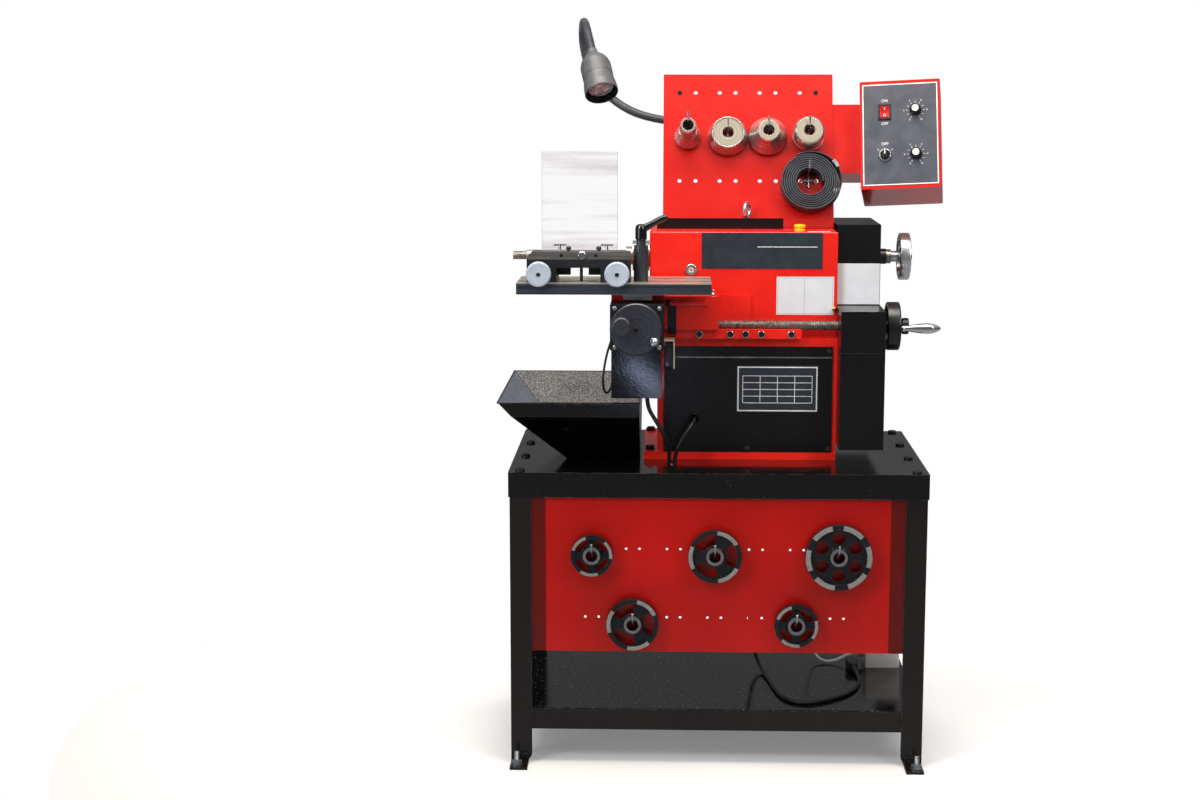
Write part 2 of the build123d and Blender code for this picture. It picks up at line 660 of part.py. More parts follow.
# Black front panel with the cable gland
with BuildPart() as front_panel:
    block(FRONT_X, (LOWER_FRONT - FRONT_T, LOWER_FRONT), FRONT_Z)
    y_bar(GLAND_R, GLAND[0], (LOWER_FRONT - FRONT_T - 14, LOWER_FRONT - FRONT_T), GLAND[1])
    y_bar(FEED_CORD_R + SLIDE_GAP, GLAND[0], (LOWER_FRONT - 20, LOWER_FRONT + 1), GLAND[1], mode=Mode.SUBTRACT)
    for x, z in FRONT_SCREWS:
        y_bar(FRONT_SCREW_R + SCREW_GAP, x, (LOWER_FRONT - 5, LOWER_FRONT + 1), z, mode=Mode.SUBTRACT)
finish(front_panel, "front_panel")

# Screws of the front panel
with BuildPart() as cover_screws:
    for x, z in FRONT_SCREWS:
        y_bar(FRONT_SCREW_R, x, (LOWER_FRONT - FRONT_T, LOWER_FRONT + 7), z)
        y_bar(5.5, x, (LOWER_FRONT - FRONT_T - 3, LOWER_FRONT - FRONT_T), z)
finish(cover_screws, "cover_screws")

# Upper belt cover, open towards the casting and below
with BuildPart() as upper_belt_cover:
    x, y, z = UPPER_COVER
    block(x, y, z)
    block((x[0] - 1, x[1] - COVER_T), (y[0] + COVER_T, y[1] - COVER_T), (z[0] - 1, z[1] - COVER_T), mode=Mode.SUBTRACT)
    x_bar(COLLAR_R + 2, (x[1] - 5, x[1] + 1), SPINDLE_Y, SPINDLE_Z, mode=Mode.SUBTRACT)
finish(upper_belt_cover, "upper_belt_cover")

# Lower belt cover, standing further forward, with a left wall beside the casting
with BuildPart() as lower_belt_cover:
    x, y, z = LOWER_COVER
    inside = (z[0] + COVER_T, z[1] - COVER_T)
    block(x, y, z)
    block((x[0] + COVER_T, x[1] - COVER_T), (y[0] + COVER_T, y[1] - COVER_T), inside, mode=Mode.SUBTRACT)
    block((x[0] - 1, x[0] + 3), (LOWER_FRONT, y[1] - COVER_T), (inside[0], LEDGE_Z), mode=Mode.SUBTRACT)
    block((x[0] - 1, x[0] + 3), (UPPER_FRONT, y[1] - COVER_T), (LEDGE_Z - 1, inside[1]), mode=Mode.SUBTRACT)
    block((x[0] - 1, x[1] - COVER_T), (UPPER_COVER[1][0] + COVER_T, y[1] - COVER_T), (inside[1] - 1, z[1] + 1),
          mode=Mode.SUBTRACT)
    x_bar(SCREW_R + 1, (x[0] - 1, x[0] + 3), SCREW_Y, SCREW_Z, mode=Mode.SUBTRACT)
    x_bar(SHANK_R + 3, (x[1] - 3, x[1] + 1), SCREW_Y, SCREW_Z, mode=Mode.SUBTRACT)
finish(lower_belt_cover, "lower_belt_cover")

# Spindle: nose flange, journals, pulley seat, end collar, bored through
with BuildPart() as spindle:
    x_bar(NOSE_R, (NOSE_X, UPPER_LEFT - 2), SPINDLE_Y, SPINDLE_Z)
    x_bar(JOURNAL_R, (UPPER_LEFT - 2, HEAD_RIGHT), SPINDLE_Y, SPINDLE_Z)
    x_bar(SEAT_R, (HEAD_RIGHT, 346), SPINDLE_Y, SPINDLE_Z)
    x_bar(COLLAR_R, (346, SPINDLE_END), SPINDLE_Y, SPINDLE_Z)
    x_bar(DRAW_BORE_R, (NOSE_X, SPINDLE_END), SPINDLE_Y, SPINDLE_Z, mode=Mode.SUBTRACT)
    x_bar(SOCKET_R, (NOSE_X, SOCKET_END), SPINDLE_Y, SPINDLE_Z, mode=Mode.SUBTRACT)
finish(spindle, "spindle")

# Two ball bearings of the spindle
with BuildPart() as spindle_bearings:
    for left in (UPPER_LEFT + 3, HEAD_RIGHT - 3 - BEARING_T):
        with BuildSketch(shifted(across(left), x=SPINDLE_Y, y=SPINDLE_Z)):
            Circle(BEARING_R)
            Circle(JOURNAL_R + TURN_GAP, mode=Mode.SUBTRACT)
        extrude(amount=BEARING_T)
finish(spindle_bearings, "spindle_bearings")

# Arbor in the spindle's socket, threaded at its free end
with BuildPart() as arbor:
    x_bar(ARBOR_THREAD_R, (ARBOR_END, -430), SPINDLE_Y, SPINDLE_Z)
    x_bar(ARBOR_R, (-430, -205), SPINDLE_Y, SPINDLE_Z)
    x_bar(ARBOR_SHOULDER_R, (-205, NOSE_X), SPINDLE_Y, SPINDLE_Z)
    x_bar(SOCKET_R - SEAT_GAP, (NOSE_X, SOCKET_END - 1), SPINDLE_Y, SPINDLE_Z)
finish(arbor, "arbor")

# Pulley on the spindle
with BuildPart() as spindle_pulley:
    pulley(PULLEY_X, GROOVE_X, BIG_PULLEY_R, BIG_GROOVE_R, SPINDLE_Y, SPINDLE_Z)
    x_bar(SEAT_R + SEAT_GAP, PULLEY_X, SPINDLE_Y, SPINDLE_Z, mode=Mode.SUBTRACT)
finish(spindle_pulley, "spindle_pulley")

# Draw wheel and its rod through the spindle
with BuildPart() as draw_wheel:
    hand_wheel((SPINDLE_END + 0.5, 425), DRAW_WHEEL_X, DRAW_HUB_R, SPINDLE_Y, SPINDLE_Z)
    x_bar(DRAW_ROD_R, (SOCKET_END - 0.5, DRAW_WHEEL_X[1] + 6), SPINDLE_Y, SPINDLE_Z)
finish(draw_wheel, "draw_wheel")

# Drive motor on the base of the casting
with BuildPart() as main_motor:
    x_bar(MOTOR_R, MOTOR_X, SPINDLE_Y, MOTOR_Z)
    block((0, 150), (SPINDLE_Y - 65, SPINDLE_Y + 65), (BASE_TOP, BASE_TOP + 10))
    block((10, 140), (SPINDLE_Y - 45, SPINDLE_Y + 45), (BASE_TOP + 8, MOTOR_Z - 30))
    block((30, 120), (SPINDLE_Y - 35, SPINDLE_Y + 35), (MOTOR_Z + 50, MOTOR_Z + 98))
    x_bar(MOTOR_SHAFT_R + TURN_GAP, (MOTOR_X[1] - 60, MOTOR_X[1] + 1), SPINDLE_Y, MOTOR_Z, mode=Mode.SUBTRACT)
finish(main_motor, "main_motor")

# Motor pulley on its shaft
with BuildPart() as motor_pulley:
    pulley(PULLEY_X, GROOVE_X, SMALL_PULLEY_R, SMALL_GROOVE_R, SPINDLE_Y, MOTOR_Z)
    x_bar(MOTOR_SHAFT_R, (MOTOR_X[1] - 58, PULLEY_X[1] + 4), SPINDLE_Y, MOTOR_Z)
finish(motor_pulley, "motor_pulley")

# Drive belt round both pulleys
with BuildPart() as drive_belt:
    for grow, mode in ((BELT_GAP + BELT_T, Mode.ADD), (BELT_GAP, Mode.SUBTRACT)):
        with BuildSketch(across(BELT_X[0])):
            with Locations((SPINDLE_Y, SPINDLE_Z)):
                Circle(BIG_GROOVE_R + grow)
            with Locations((SPINDLE_Y, MOTOR_Z)):
                Circle(SMALL_GROOVE_R + grow)
            make_hull()
        extrude(amount=BELT_X[1] - BELT_X[0], mode=mode)
finish(drive_belt, "drive_belt")

# Oil filler cap, sight glass and lifting eye on the casting
with BuildPart() as oil_cap:
    z_bar(7.5, *OIL, (HEAD_TOP - 12, HEAD_TOP))
    turned(spot(*OIL, HEAD_TOP), UP, [(0, 0), (0, 13), (10, 13), (14, 9), (14, 0)])
finish(oil_cap, "oil_cap")

with BuildPart() as sight_glass:
    y_bar(9 - TURN_GAP, SIGHT[0], (UPPER_FRONT, UPPER_FRONT + 7), SIGHT[1])
    turned(spot(SIGHT[0], UPPER_FRONT, SIGHT[1]), -BACK, [(0, 0), (0, 13), (3, 13), (4, 12), (4, 9), (2, 8), (2, 0)])
finish(sight_glass, "sight_glass")

with BuildPart() as lifting_eye:
    z_bar(5, EYE_X, EYE_Y, (HEAD_TOP - 14, HEAD_TOP + BRACKET_T))
    z_bar(9, EYE_X, EYE_Y, (HEAD_TOP + BRACKET_T, HEAD_TOP + BRACKET_T + 6))
    z_bar(6, EYE_X, EYE_Y, (HEAD_TOP + BRACKET_T, HEAD_TOP + EYE_RISE - EYE_R))
    with Locations(Plane(spot(EYE_X, EYE_Y, HEAD_TOP + EYE_RISE), (math.cos(EYE_TURN), math.sin(EYE_TURN), 0),
                         (math.sin(EYE_TURN), -math.cos(EYE_TURN), 0))):
        Torus(EYE_R, EYE_WIRE_R)
finish(lifting_eye, "lifting_eye")

# Angle in front of the tool board's foot
with BuildPart() as board_bracket:
    block(BRACKET_X, BRACKET_Y, (HEAD_TOP, HEAD_TOP + BRACKET_T))
    block(BRACKET_X, (BRACKET_Y[0], BRACKET_Y[0] + BRACKET_T), (HEAD_TOP, HEAD_TOP + BRACKET_H))
    z_bar(5.2, EYE_X, EYE_Y, (HEAD_TOP - 1, HEAD_TOP + BRACKET_T + 1), mode=Mode.SUBTRACT)
finish(board_bracket, "board_bracket")

# Leaning tool board with rearward edges and three rows of peg holes
with BuildPart() as tool_board:
    mid_x = (BOARD_X[0] + BOARD_X[1]) / 2
    wide = BOARD_X[1] - BOARD_X[0]
    low = 1.1
    with BuildSketch(shifted(BOARD, x=mid_x, y=(BOARD_LONG + low) / 2)):
        Rectangle(wide, BOARD_LONG - low)
    extrude(amount=-BOARD_T)
    for edge in (BOARD_X[0] + BOARD_T / 2, BOARD_X[1] - BOARD_T / 2):
        with BuildSketch(shifted(BOARD, x=edge, y=(BOARD_LONG + 12) / 2)):
            Rectangle(BOARD_T, BOARD_LONG - 12)
        extrude(amount=-BOARD_FLANGE)
    with BuildSketch(shifted(BOARD, x=mid_x, y=BOARD_LONG - BOARD_T / 2)):
        Rectangle(wide, BOARD_T)
    extrude(amount=-BOARD_FLANGE)
    block(BOARD_X, (BOARD_FOOT_Y + 2, BOARD_FOOT_Y + 36), (HEAD_TOP, HEAD_TOP + BOARD_T))
    for row in BOARD_ROWS:
        for place in BOARD_PAIRS:
            with Locations(shifted(BOARD, x=place - BOARD_PEG_HALF, y=row), shifted(BOARD, x=place + BOARD_PEG_HALF, y=row)):
                Hole(BOARD_HOLE_R, depth=2 * BOARD_T)
finish(tool_board, "tool_board")

# Centring cones and collet hung on the tool board
with BuildPart() as centering_cones:
    cones = (
        [(0, BORE_R), (0, 28), (2, 30), (6, 30), (40, 20), (40, 16.5), (46, 16.5), (46, 20), (54, 20), (54, 18), (57, 18), (57, 19.5),
         (82, 18.5), (86, 16.5), (86, BORE_R)],
        [(0, BORE_R), (0, 43), (2.5, 45), (6, 45), (33, 37.5), (36, 35.5), (36, 33.5), (34, 32.5), (34, BORE_R)],
        [(0, BORE_R), (0, 42), (2.5, 44), (6, 44), (50, 25), (52, 23.5), (52, BORE_R)],
        [(0, BORE_R), (0, 33), (3, 35.5), (12, 35.5), (12, 33), (20, 33), (20, 35.5), (42, 35), (49, 32.5), (52, 29.5), (52, BORE_R)],
    )
    for place, profile in zip(BOARD_PAIRS, cones):
        turned(shifted(BOARD, place, BOARD_ROWS[1], HUNG_BACK).origin, BOARD_OUT, profile)
finish(centering_cones, "centering_cones")

# Silencer belt wound into a roll, with its buckle on the outer end
roll_v = BOARD_ROWS[0] + ROLL_RISE - (ROLL_IN_R - WIRE_R - HUNG_GAP)
roll_mid = ROLL_IN_R + ROLL_T / 2
with BuildPart() as silencer_belt:
    with BuildSketch(shifted(BOARD, BOARD_PAIRS[3], roll_v, HUNG_BACK)):
        with BuildLine():
            for edge in (-ROLL_T / 2, ROLL_T / 2):
                for half in range(2 * ROLL_TURNS):
                    centre = 0 if half % 2 == 0 else ROLL_PITCH / 2
                    radius = roll_mid + half * ROLL_PITCH / 2 + edge
                    CenterArc((centre, 0), radius, 0 if half % 2 == 0 else 180, 180)
            last = roll_mid + ROLL_TURNS * ROLL_PITCH
            Line((ROLL_IN_R, 0), (ROLL_IN_R + ROLL_T, 0))
            Line((last - ROLL_T / 2, 0), (last + ROLL_T / 2, 0))
        make_face()
    extrude(amount=ROLL_W)
finish(silencer_belt, "silencer_belt")

# Least gap between neighbouring turns, measured on points of the band's middle line
turns = []
for half in range(2 * ROLL_TURNS):
    for step in range(30):
        angle = math.pi * (half + step / 30)
        centre = 0 if half % 2 == 0 else ROLL_PITCH / 2
        radius = roll_mid + half * ROLL_PITCH / 2
        turns.append((centre + radius * math.cos(angle), radius * math.sin(angle)))
gaps = [math.dist(a, b) for i, a in enumerate(turns) for b in turns[i + 45:]]
print("silencer belt least gap", round(min(gaps) - ROLL_T, 2))

# Lamp: gooseneck from a socket behind the board, head, lens
lamp_socket = (-100, 258)
neck_end = spot(*LAMP_NECK)
gooseneck = [shifted(BOARD, *lamp_socket, -27).origin]
for x, y, up in ((-152, 159, 242), (-214, 176, 265), (-268, 196, 309), (-298, 207, 359), (-310, 208, 417), (-306, 158, 465)):
    gooseneck.append(spot(x, y, HEAD_TOP + up))
gooseneck += [neck_end - LAMP_AIM * GOOSENECK_RUN, neck_end]
with BuildPart() as lamp_arm:
    ribbed_hose("gooseneck", GOOSENECK_R, NECK_ROOT_R, NECK_BORE_R, NECK_RIB_COUNT, gooseneck)
    bar(13, shifted(BOARD, *lamp_socket, -BOARD_T).origin, shifted(BOARD, *lamp_socket, -40).origin)
finish(lamp_arm, "lamp_arm")

with BuildPart() as lamp_head:
    turned(spot(*LAMP_NECK), LAMP_AIM, [
        (0, 0), (0, 13), (10, 13), (12, 17), (32, 31), (40, 32), (40, 30), (44, 30), (44, 33), (76, 33), (76, 30.5),
        (80, 30.5), (84, 34), (96, LAMP_R), (LAMP_LONG, LAMP_R), (LAMP_LONG, LAMP_R - 3), (98, 29), (98, 0)])
finish(lamp_head, "lamp_head")

with BuildPart() as lamp_lens:
    turned(spot(*LAMP_NECK) + LAMP_AIM * 98, LAMP_AIM, [(0, 0), (0, 28.5), (3, 28.5), (5, 26), (5, 0)])
finish(lamp_lens, "lamp_lens")

# Control box on its arm from the board's right edge
with BuildPart() as control_box:
    with BuildSketch(BOX):
        RectangleRounded(BOX_W, BOX_H, 3)
    extrude(amount=-BOX_DEEP)
    arm_mid = (ARM_SLOPE[0] + ARM_SLOPE[1]) / 2
    with BuildSketch(shifted(BOARD, (BOARD_X[1] + ARM_END) / 2, arm_mid, ARM_DEEP[1])):
        Rectangle(ARM_END - BOARD_X[1], ARM_SLOPE[1] - ARM_SLOPE[0])
    extrude(amount=ARM_DEEP[0] - ARM_DEEP[1])
    with BuildSketch(shifted(BOX, z=-BOX_T)):
        Rectangle(BOX_W - 2 * BOX_T, BOX_H - 2 * BOX_T)
    extrude(amount=2 * BOX_T - BOX_DEEP, mode=Mode.SUBTRACT)
    with BuildSketch(shifted(BOARD, (BOARD_X[1] + ARM_END) / 2 - 5, arm_mid, ARM_DEEP[1] - BOX_T)):
        Rectangle(ARM_END - BOARD_X[1] + 10, ARM_SLOPE[1] - ARM_SLOPE[0] - 2 * BOX_T)
    extrude(amount=ARM_DEEP[0] - ARM_DEEP[1] + 2 * BOX_T, mode=Mode.SUBTRACT)
    with BuildSketch(shifted(BOX, -CONTROL_X, ROCKER_V)):
        Rectangle(ROCKER_W + 7, ROCKER_H + 9)
    extrude(amount=3)
    with BuildSketch(shifted(BOX, -CONTROL_X, ROCKER_V, 5)):
        Rectangle(ROCKER_W + 1, ROCKER_H + 3)
    extrude(amount=-15, mode=Mode.SUBTRACT)
    for x, v, shaft in ((-CONTROL_X, SELECTOR_V, SELECTOR_SHAFT_R), (CONTROL_X, SPEED_V, KNOB_SHAFT_R),
                        (CONTROL_X, RATE_V, KNOB_SHAFT_R)):
        with BuildSketch(shifted(BOX, x, v, 1)):
            Circle(shaft + SLIDE_GAP)
        extrude(amount=-5, mode=Mode.SUBTRACT)
finish(control_box, "control_box")

# Controls on the face of the box
with BuildPart() as power_rocker:
    rocker_side = shifted(BOX, -CONTROL_X - ROCKER_W / 2, ROCKER_V).origin
    with BuildSketch(Plane(rocker_side, x_dir=BOX.y_dir, z_dir=BOX.x_dir)):
        with BuildLine():
            Polyline((-ROCKER_H / 2, -4), (ROCKER_H / 2, -4), (ROCKER_H / 2, 6), (0, 3), (-ROCKER_H / 2, 4), close=True)
        make_face()
    extrude(amount=ROCKER_W)
finish(power_rocker, "power_rocker")


def dial_knob(face, shaft):
    """Turned control knob with a skirt and a shaft through the face."""
    turned(face.origin, face.z_dir, [(-8, 0), (-8, shaft), (1, shaft), (1, 13), (4, 13), (5, 11), (16, 10), (17, 9), (17, 0)])


with BuildPart() as speed_knob:
    dial_knob(shifted(BOX, CONTROL_X, SPEED_V), KNOB_SHAFT_R)
finish(speed_knob, "speed_knob")

with BuildPart() as feed_rate_knob:
    dial_knob(shifted(BOX, CONTROL_X, RATE_V), KNOB_SHAFT_R)
finish(feed_rate_knob, "feed_rate_knob")

with BuildPart() as feed_selector:
    turned(shifted(BOX, -CONTROL_X, SELECTOR_V).origin, BOX_OUT, [
        (-10, 0), (-10, SELECTOR_SHAFT_R), (0.5, SELECTOR_SHAFT_R), (0.5, 14.5), (4, 14.5), (6, 12), (6, 11), (9, 11), (9, 0)])
    with BuildSketch(shifted(BOX, -CONTROL_X, SELECTOR_V, 8)):
        SlotOverall(20, 8, rotation=90)
    extrude(amount=11)
finish(feed_selector, "feed_selector")

# Saddle: slide on the casting's ledge, tongue in its groove, nut block, cross arm
with BuildPart() as saddle:
    back = UPPER_FRONT - SLIDE_GAP
    block((SADDLE_X[0], SADDLE_PLATE_RIGHT), (SADDLE_Y[1], back), (LEDGE_Z + SLIDE_GAP, SADDLE_Z[1] - 2))
    block((SADDLE_X[0], SADDLE_PLATE_RIGHT), (back, UPPER_FRONT + WAY_DEEP - SLIDE_GAP),
          (WAY_BOTTOM + SLIDE_GAP, WAY_TOP - SLIDE_GAP))
    block((SADDLE_X[0], SLIDE_RIGHT), (SLIDE_FRONT, back), (LEDGE_Z + SLIDE_GAP, SLIDE_TOP))
    block(SADDLE_X, SADDLE_Y, SADDLE_Z)
    block(ARM_X, ARM_Y, ARM_Z)
    block(TENON_X, (ARM_Y[0] - 1, ARM_Y[1] + 1), (TENON_BOTTOM, ARM_Z[1] + 1), mode=Mode.SUBTRACT)
    x_bar(SCREW_R + 2 * SLIDE_GAP, (ARM_X[0], SADDLE_X[1] + 1), SCREW_Y, SCREW_Z, mode=Mode.SUBTRACT)
finish(saddle, "saddle")

# Gib strip along the front of the slide
with BuildPart() as gib_strip:
    block(GIB_X, GIB_Y, GIB_Z)
    for x in GIB_SCREWS:
        y_bar(4, x, (GIB_Y[0] - 1, GIB_Y[1] + 1), GIB_SCREW_Z, mode=Mode.SUBTRACT)
finish(gib_strip, "gib_strip")

# Cap screws of the gib strip and of the gearbox plate
with BuildPart() as carriage_screws:
    for x in GIB_SCREWS:
        y_bar(3.5, x, (GIB_Y[0], GIB_Y[1] - 1), GIB_SCREW_Z)
        turned(spot(x, GIB_Y[0], GIB_SCREW_Z), -BACK, [(0, 0), (0, CAP_R), (6, CAP_R), (6, 3), (3, 3), (3, 0)])
    for x in (GEAR_X[0] + 10, GEAR_X[1] - 10):
        for z in (GEAR_Z[0] + 7, GEAR_Z[1] - 6):
            turned(spot(x, GEAR_Y[0] - PLATE_T, z), -BACK, [(0, 0), (0, 4.5), (0.8, 4.5), (0.8, 0)])
finish(carriage_screws, "carriage_screws")

# Lead screw with its shank and end knob
with BuildPart() as lead_screw:
    x_bar(SCREW_R, SCREW_X, SCREW_Y, SCREW_Z)
    x_bar(SHANK_R, (SCREW_X[1], SHANK_END - 14), SCREW_Y, SCREW_Z)
    x_bar(KNOB_R, (SHANK_END - 14, SHANK_END), SCREW_Y, SCREW_Z)
finish(lead_screw, "lead_screw")

# Feed wheel with the stud of its handle
handle_y = SCREW_Y - HANDLE_ARM
with BuildPart() as feed_wheel:
    hand_wheel(FEED_HUB_X, FEED_WHEEL_X, FEED_HUB_R, SCREW_Y, SCREW_Z)
    x_bar(STUD_R, (FEED_WHEEL_X[1] - 6, HANDLE_X[1] - 9), handle_y, SCREW_Z)
    x_bar(SHANK_R + SEAT_GAP, (FEED_HUB_X[0], FEED_HUB_X[1]), SCREW_Y, SCREW_Z, mode=Mode.SUBTRACT)
finish(feed_wheel, "feed_wheel")

with BuildPart() as feed_handle:
    stud = STUD_R + TURN_GAP
    turned(spot(HANDLE_X[0], handle_y, SCREW_Z), RIGHT, [
        (0, stud), (0, 6), (6, 7), (28, 10), (54, 11.5), (70, 10), (78, 7), (83, 3), (83, 0), (76, 0), (76, stud)])
finish(feed_handle, "feed_handle")

# Cross-feed gearbox with its front plate and motor box
with BuildPart() as feed_gearbox:
    block(GEAR_X, GEAR_Y, GEAR_Z)
    block(GEAR_X, (GEAR_Y[0] - PLATE_T, GEAR_Y[0]), GEAR_Z)
    block(FEED_MOTOR_X, FEED_MOTOR_Y, FEED_MOTOR_Z)
    block((-212, -138), (-280, -200), (FEED_MOTOR_Z[1] - 1, GEAR_Z[0] + 1))
    y_bar(DISC_SHAFT_R + TURN_GAP, DISC_X, (GEAR_Y[0] - PLATE_T, GEAR_Y[0] + 26), DISC_Z, mode=Mode.SUBTRACT)
finish(feed_gearbox, "feed_gearbox")

# Cross-feed disc with its crank knob
with BuildPart() as cross_disc:
    y_bar(DISC_SHAFT_R, DISC_X, (DISC_Y[1], GEAR_Y[0] + 24), DISC_Z)
    turned(spot(DISC_X, DISC_Y[1], DISC_Z), -BACK, [(0, 0), (0, DISC_R - 1), (1, DISC_R), (12, DISC_R), (14, DISC_R - 2), (14, 0)])
    turned(spot(DISC_KNOB[0], DISC_Y[0], DISC_KNOB[1]), -BACK, [
        (0, 0), (0, 12), (12, 13), (18, 18), (24, DISC_KNOB_R), (29, 20), (33, 14), (34, 0)])
finish(cross_disc, "cross_disc")

# Limit switch on its angle at the gearbox's side
with BuildPart() as limit_switch:
    switch_z = GEAR_Z[0] + 14
    block((GEAR_X[1], -95), (-228, -196), (switch_z - 3, switch_z))
    block((-97, -95), (-228, -196), (switch_z - 61, switch_z))
    block((-115, -97), (-225, -199), (switch_z - 59, switch_z - 7))
    x_bar(4, (-108, -104), -212, switch_z - 63)
    z_bar(3, -106, -212, (switch_z - 69, switch_z - 58))
finish(limit_switch, "limit_switch")

# T-slotted cross table with its tenon
with BuildPart() as t_slot_table:
    bottom = ARM_Z[1] + SLIDE_GAP
    block(TABLE_X, TABLE_Y, (bottom, TABLE_TOP))
    block((TENON_X[0] + SLIDE_GAP, TENON_X[1] - SLIDE_GAP), TENON_Y, (TENON_BOTTOM + SLIDE_GAP, bottom))
    for y in T_SLOTS:
        block((TABLE_X[0] - 1, TABLE_X[1] + 1), (y - T_SLOT_W / 2, y + T_SLOT_W / 2),
              (TABLE_TOP - T_SLOT_DEEP, TABLE_TOP + 1), mode=Mode.SUBTRACT)
        block((TABLE_X[0] - 1, TABLE_X[1] + 1), (y - T_SLOT_UNDER_W / 2, y + T_SLOT_UNDER_W / 2),
              (TABLE_TOP - T_SLOT_DEEP, TABLE_TOP - T_SLOT_NECK), mode=Mode.SUBTRACT)
finish(t_slot_table, "t_slot_table")

# Twin cutter: two bodies, bridge and top bar, with pockets for the tool holders
with BuildPart() as twin_cutter:
    for side in (-1, 1):
        body = tuple(sorted((CUTTER_MID + side * CUTTER_OUT, CUTTER_MID + side * CUTTER_IN)))
        pocket = tuple(sorted((CUTTER_MID + side * POCKET_OUT, CUTTER_MID + side * (CUTTER_IN - 1))))
        block(body, CUTTER_Y, (TABLE_TOP, CUTTER_TOP))
        block(pocket, HOLDER_Y, HOLDER_Z, mode=Mode.SUBTRACT)
        y_bar(DIAL_SHAFT_R + TURN_GAP, CUTTER_MID + side * DIAL_OUT, (CUTTER_Y[0] - 1, DIAL_SHAFT_END + 1), DIAL_Z,
              mode=Mode.SUBTRACT)
    block((CUTTER_MID - CUTTER_IN, CUTTER_MID + CUTTER_IN), BRIDGE_Y, (BRIDGE_Z, CUTTER_TOP))
    block((CUTTER_MID - CUTTER_OUT, CUTTER_MID + CUTTER_OUT), BAR_Y, (CUTTER_TOP, BAR_TOP))
    bar_end = twin_cutter.edges().filter_by(Axis.Y).sort_by(Axis.Z)[-2:].sort_by(Axis.X)[0]
    chamfer(bar_end, 12)
finish(twin_cutter, "twin_cutter")


def tool_holder(side):
    """Tool holder bar with its cutting tip towards the middle."""
    out = CUTTER_MID + side * HOLDER_OUT
    inner = CUTTER_MID + side * HOLDER_IN
    y = (HOLDER_Y[0] + SLIDE_GAP, HOLDER_Y[1] - SLIDE_GAP)
    z = (HOLDER_Z[0] + SLIDE_GAP, HOLDER_Z[1] - SLIDE_GAP)
    block(tuple(sorted((out, inner))), y, z)
    block(tuple(sorted((inner, inner - side * 8))), (HOLDER_Y[1] - 9, HOLDER_Y[1] + 5), (z[1] - 6, z[1]))
    block(tuple(sorted((inner + side * 14, inner))), (HOLDER_Y[1] - 9, HOLDER_Y[1] + 5), (z[1] - 6, z[1]))


def cutter_dial(side):
    """Feed dial of one tool holder with its hub and shaft."""
    x = CUTTER_MID + side * DIAL_OUT
    y_bar(DIAL_SHAFT_R, x, (CUTTER_Y[0], DIAL_SHAFT_END), DIAL_Z)
    y_bar(DIAL_HUB_R, x, (DIAL_Y[1], CUTTER_Y[0] - 0.5), DIAL_Z)
    y_bar(DIAL_SHAFT_R, x, (CUTTER_Y[0] - 1, CUTTER_Y[0]), DIAL_Z)
    turned(spot(x, DIAL_Y[1], DIAL_Z), -BACK, [(0, 0), (0, DIAL_R - 1), (1, DIAL_R), (10, DIAL_R), (14, DIAL_R - 4), (14, 0)])


with BuildPart() as tool_holder_left:
    tool_holder(-1)
finish(tool_holder_left, "tool_holder_left")

with BuildPart() as tool_holder_right:
    tool_holder(1)
finish(tool_holder_right, "tool_holder_right")

with BuildPart() as cutter_dial_left:
    cutter_dial(-1)
finish(cutter_dial_left, "cutter_dial_left")

with BuildPart() as cutter_dial_right:
    cutter_dial(1)
finish(cutter_dial_right, "cutter_dial_right")

# Clear chip shield behind the top bar
with BuildPart() as chip_shield:
    block(SHIELD_X, (BAR_Y[1], BAR_Y[1] + SHIELD_T), (CUTTER_TOP, SHIELD_TOP))
    fillet(chip_shield.edges().filter_by(Axis.Y).sort_by(Axis.Z)[-2:], SHIELD_CORNER_R)
finish(chip_shield, "chip_shield")

# Clamp post and its lever
with BuildPart() as clamp_post:
    z_bar(POST_R, POST_X, POST_Y, (TABLE_TOP, POST_TOP))
    z_bar(NECK_R, POST_X, POST_Y, (POST_TOP, NECK_TOP))
    z_bar(LEVER_STUD_R, POST_X, POST_Y, (NECK_TOP, LEVER_TOP - 8))
finish(clamp_post, "clamp_post")

with BuildPart() as clamp_lever:
    bore = LEVER_STUD_R + TURN_GAP
    turned(spot(POST_X, POST_Y, NECK_TOP + SLIDE_GAP), UP, [
        (0, bore), (0, LEVER_HUB_R - 2), (4, LEVER_HUB_R), (28, LEVER_HUB_R), (33.5, 7), (33.5, 0), (27, 0), (27, bore)])
    bar(4.5, spot(POST_X + 9, POST_Y, NECK_TOP + 26), spot(POST_X + 40, POST_Y, NECK_TOP + 42))
    bar(7, spot(POST_X + 26, POST_Y, NECK_TOP + 35), spot(POST_X + 48, POST_Y, NECK_TOP + 46.5))
    with Locations(spot(POST_X + 48, POST_Y, NECK_TOP + 46.5)):
        Sphere(7)
finish(clamp_lever, "clamp_lever")

# Feed motor cable to the bench, and the sensor loop under the cross arm
with BuildPart() as feed_cables:
    cord("feed cable", FEED_CORD_R, [
        spot(-153, -235, FEED_MOTOR_Z[0]), spot(-153, -235, FEED_MOTOR_Z[0] - 26), spot(-134, -234, BENCH_H + 107),
        spot(-114, -222, BENCH_H + 71), spot(-104, -188, BENCH_H + 38), spot(-105.5, -159, BENCH_H + 2),
        spot(-106, -154, BENCH_H - 44)])
    loop_z = ARM_Z[0]
    cord("sensor cable", SENSOR_CORD_R, [
        spot(-226, -180, loop_z), spot(-226, -180, loop_z - 24), spot(-240, -184, loop_z - 62), spot(-249, -190, loop_z - 110),
        spot(-249, -186, loop_z - 145), spot(-240, -160, loop_z - 160), spot(-228, -138, loop_z - 138),
        spot(-224, -126, loop_z - 88), spot(-222, -122, loop_z - 44), spot(-222, -122, loop_z)])
finish(feed_cables, "feed_cables")

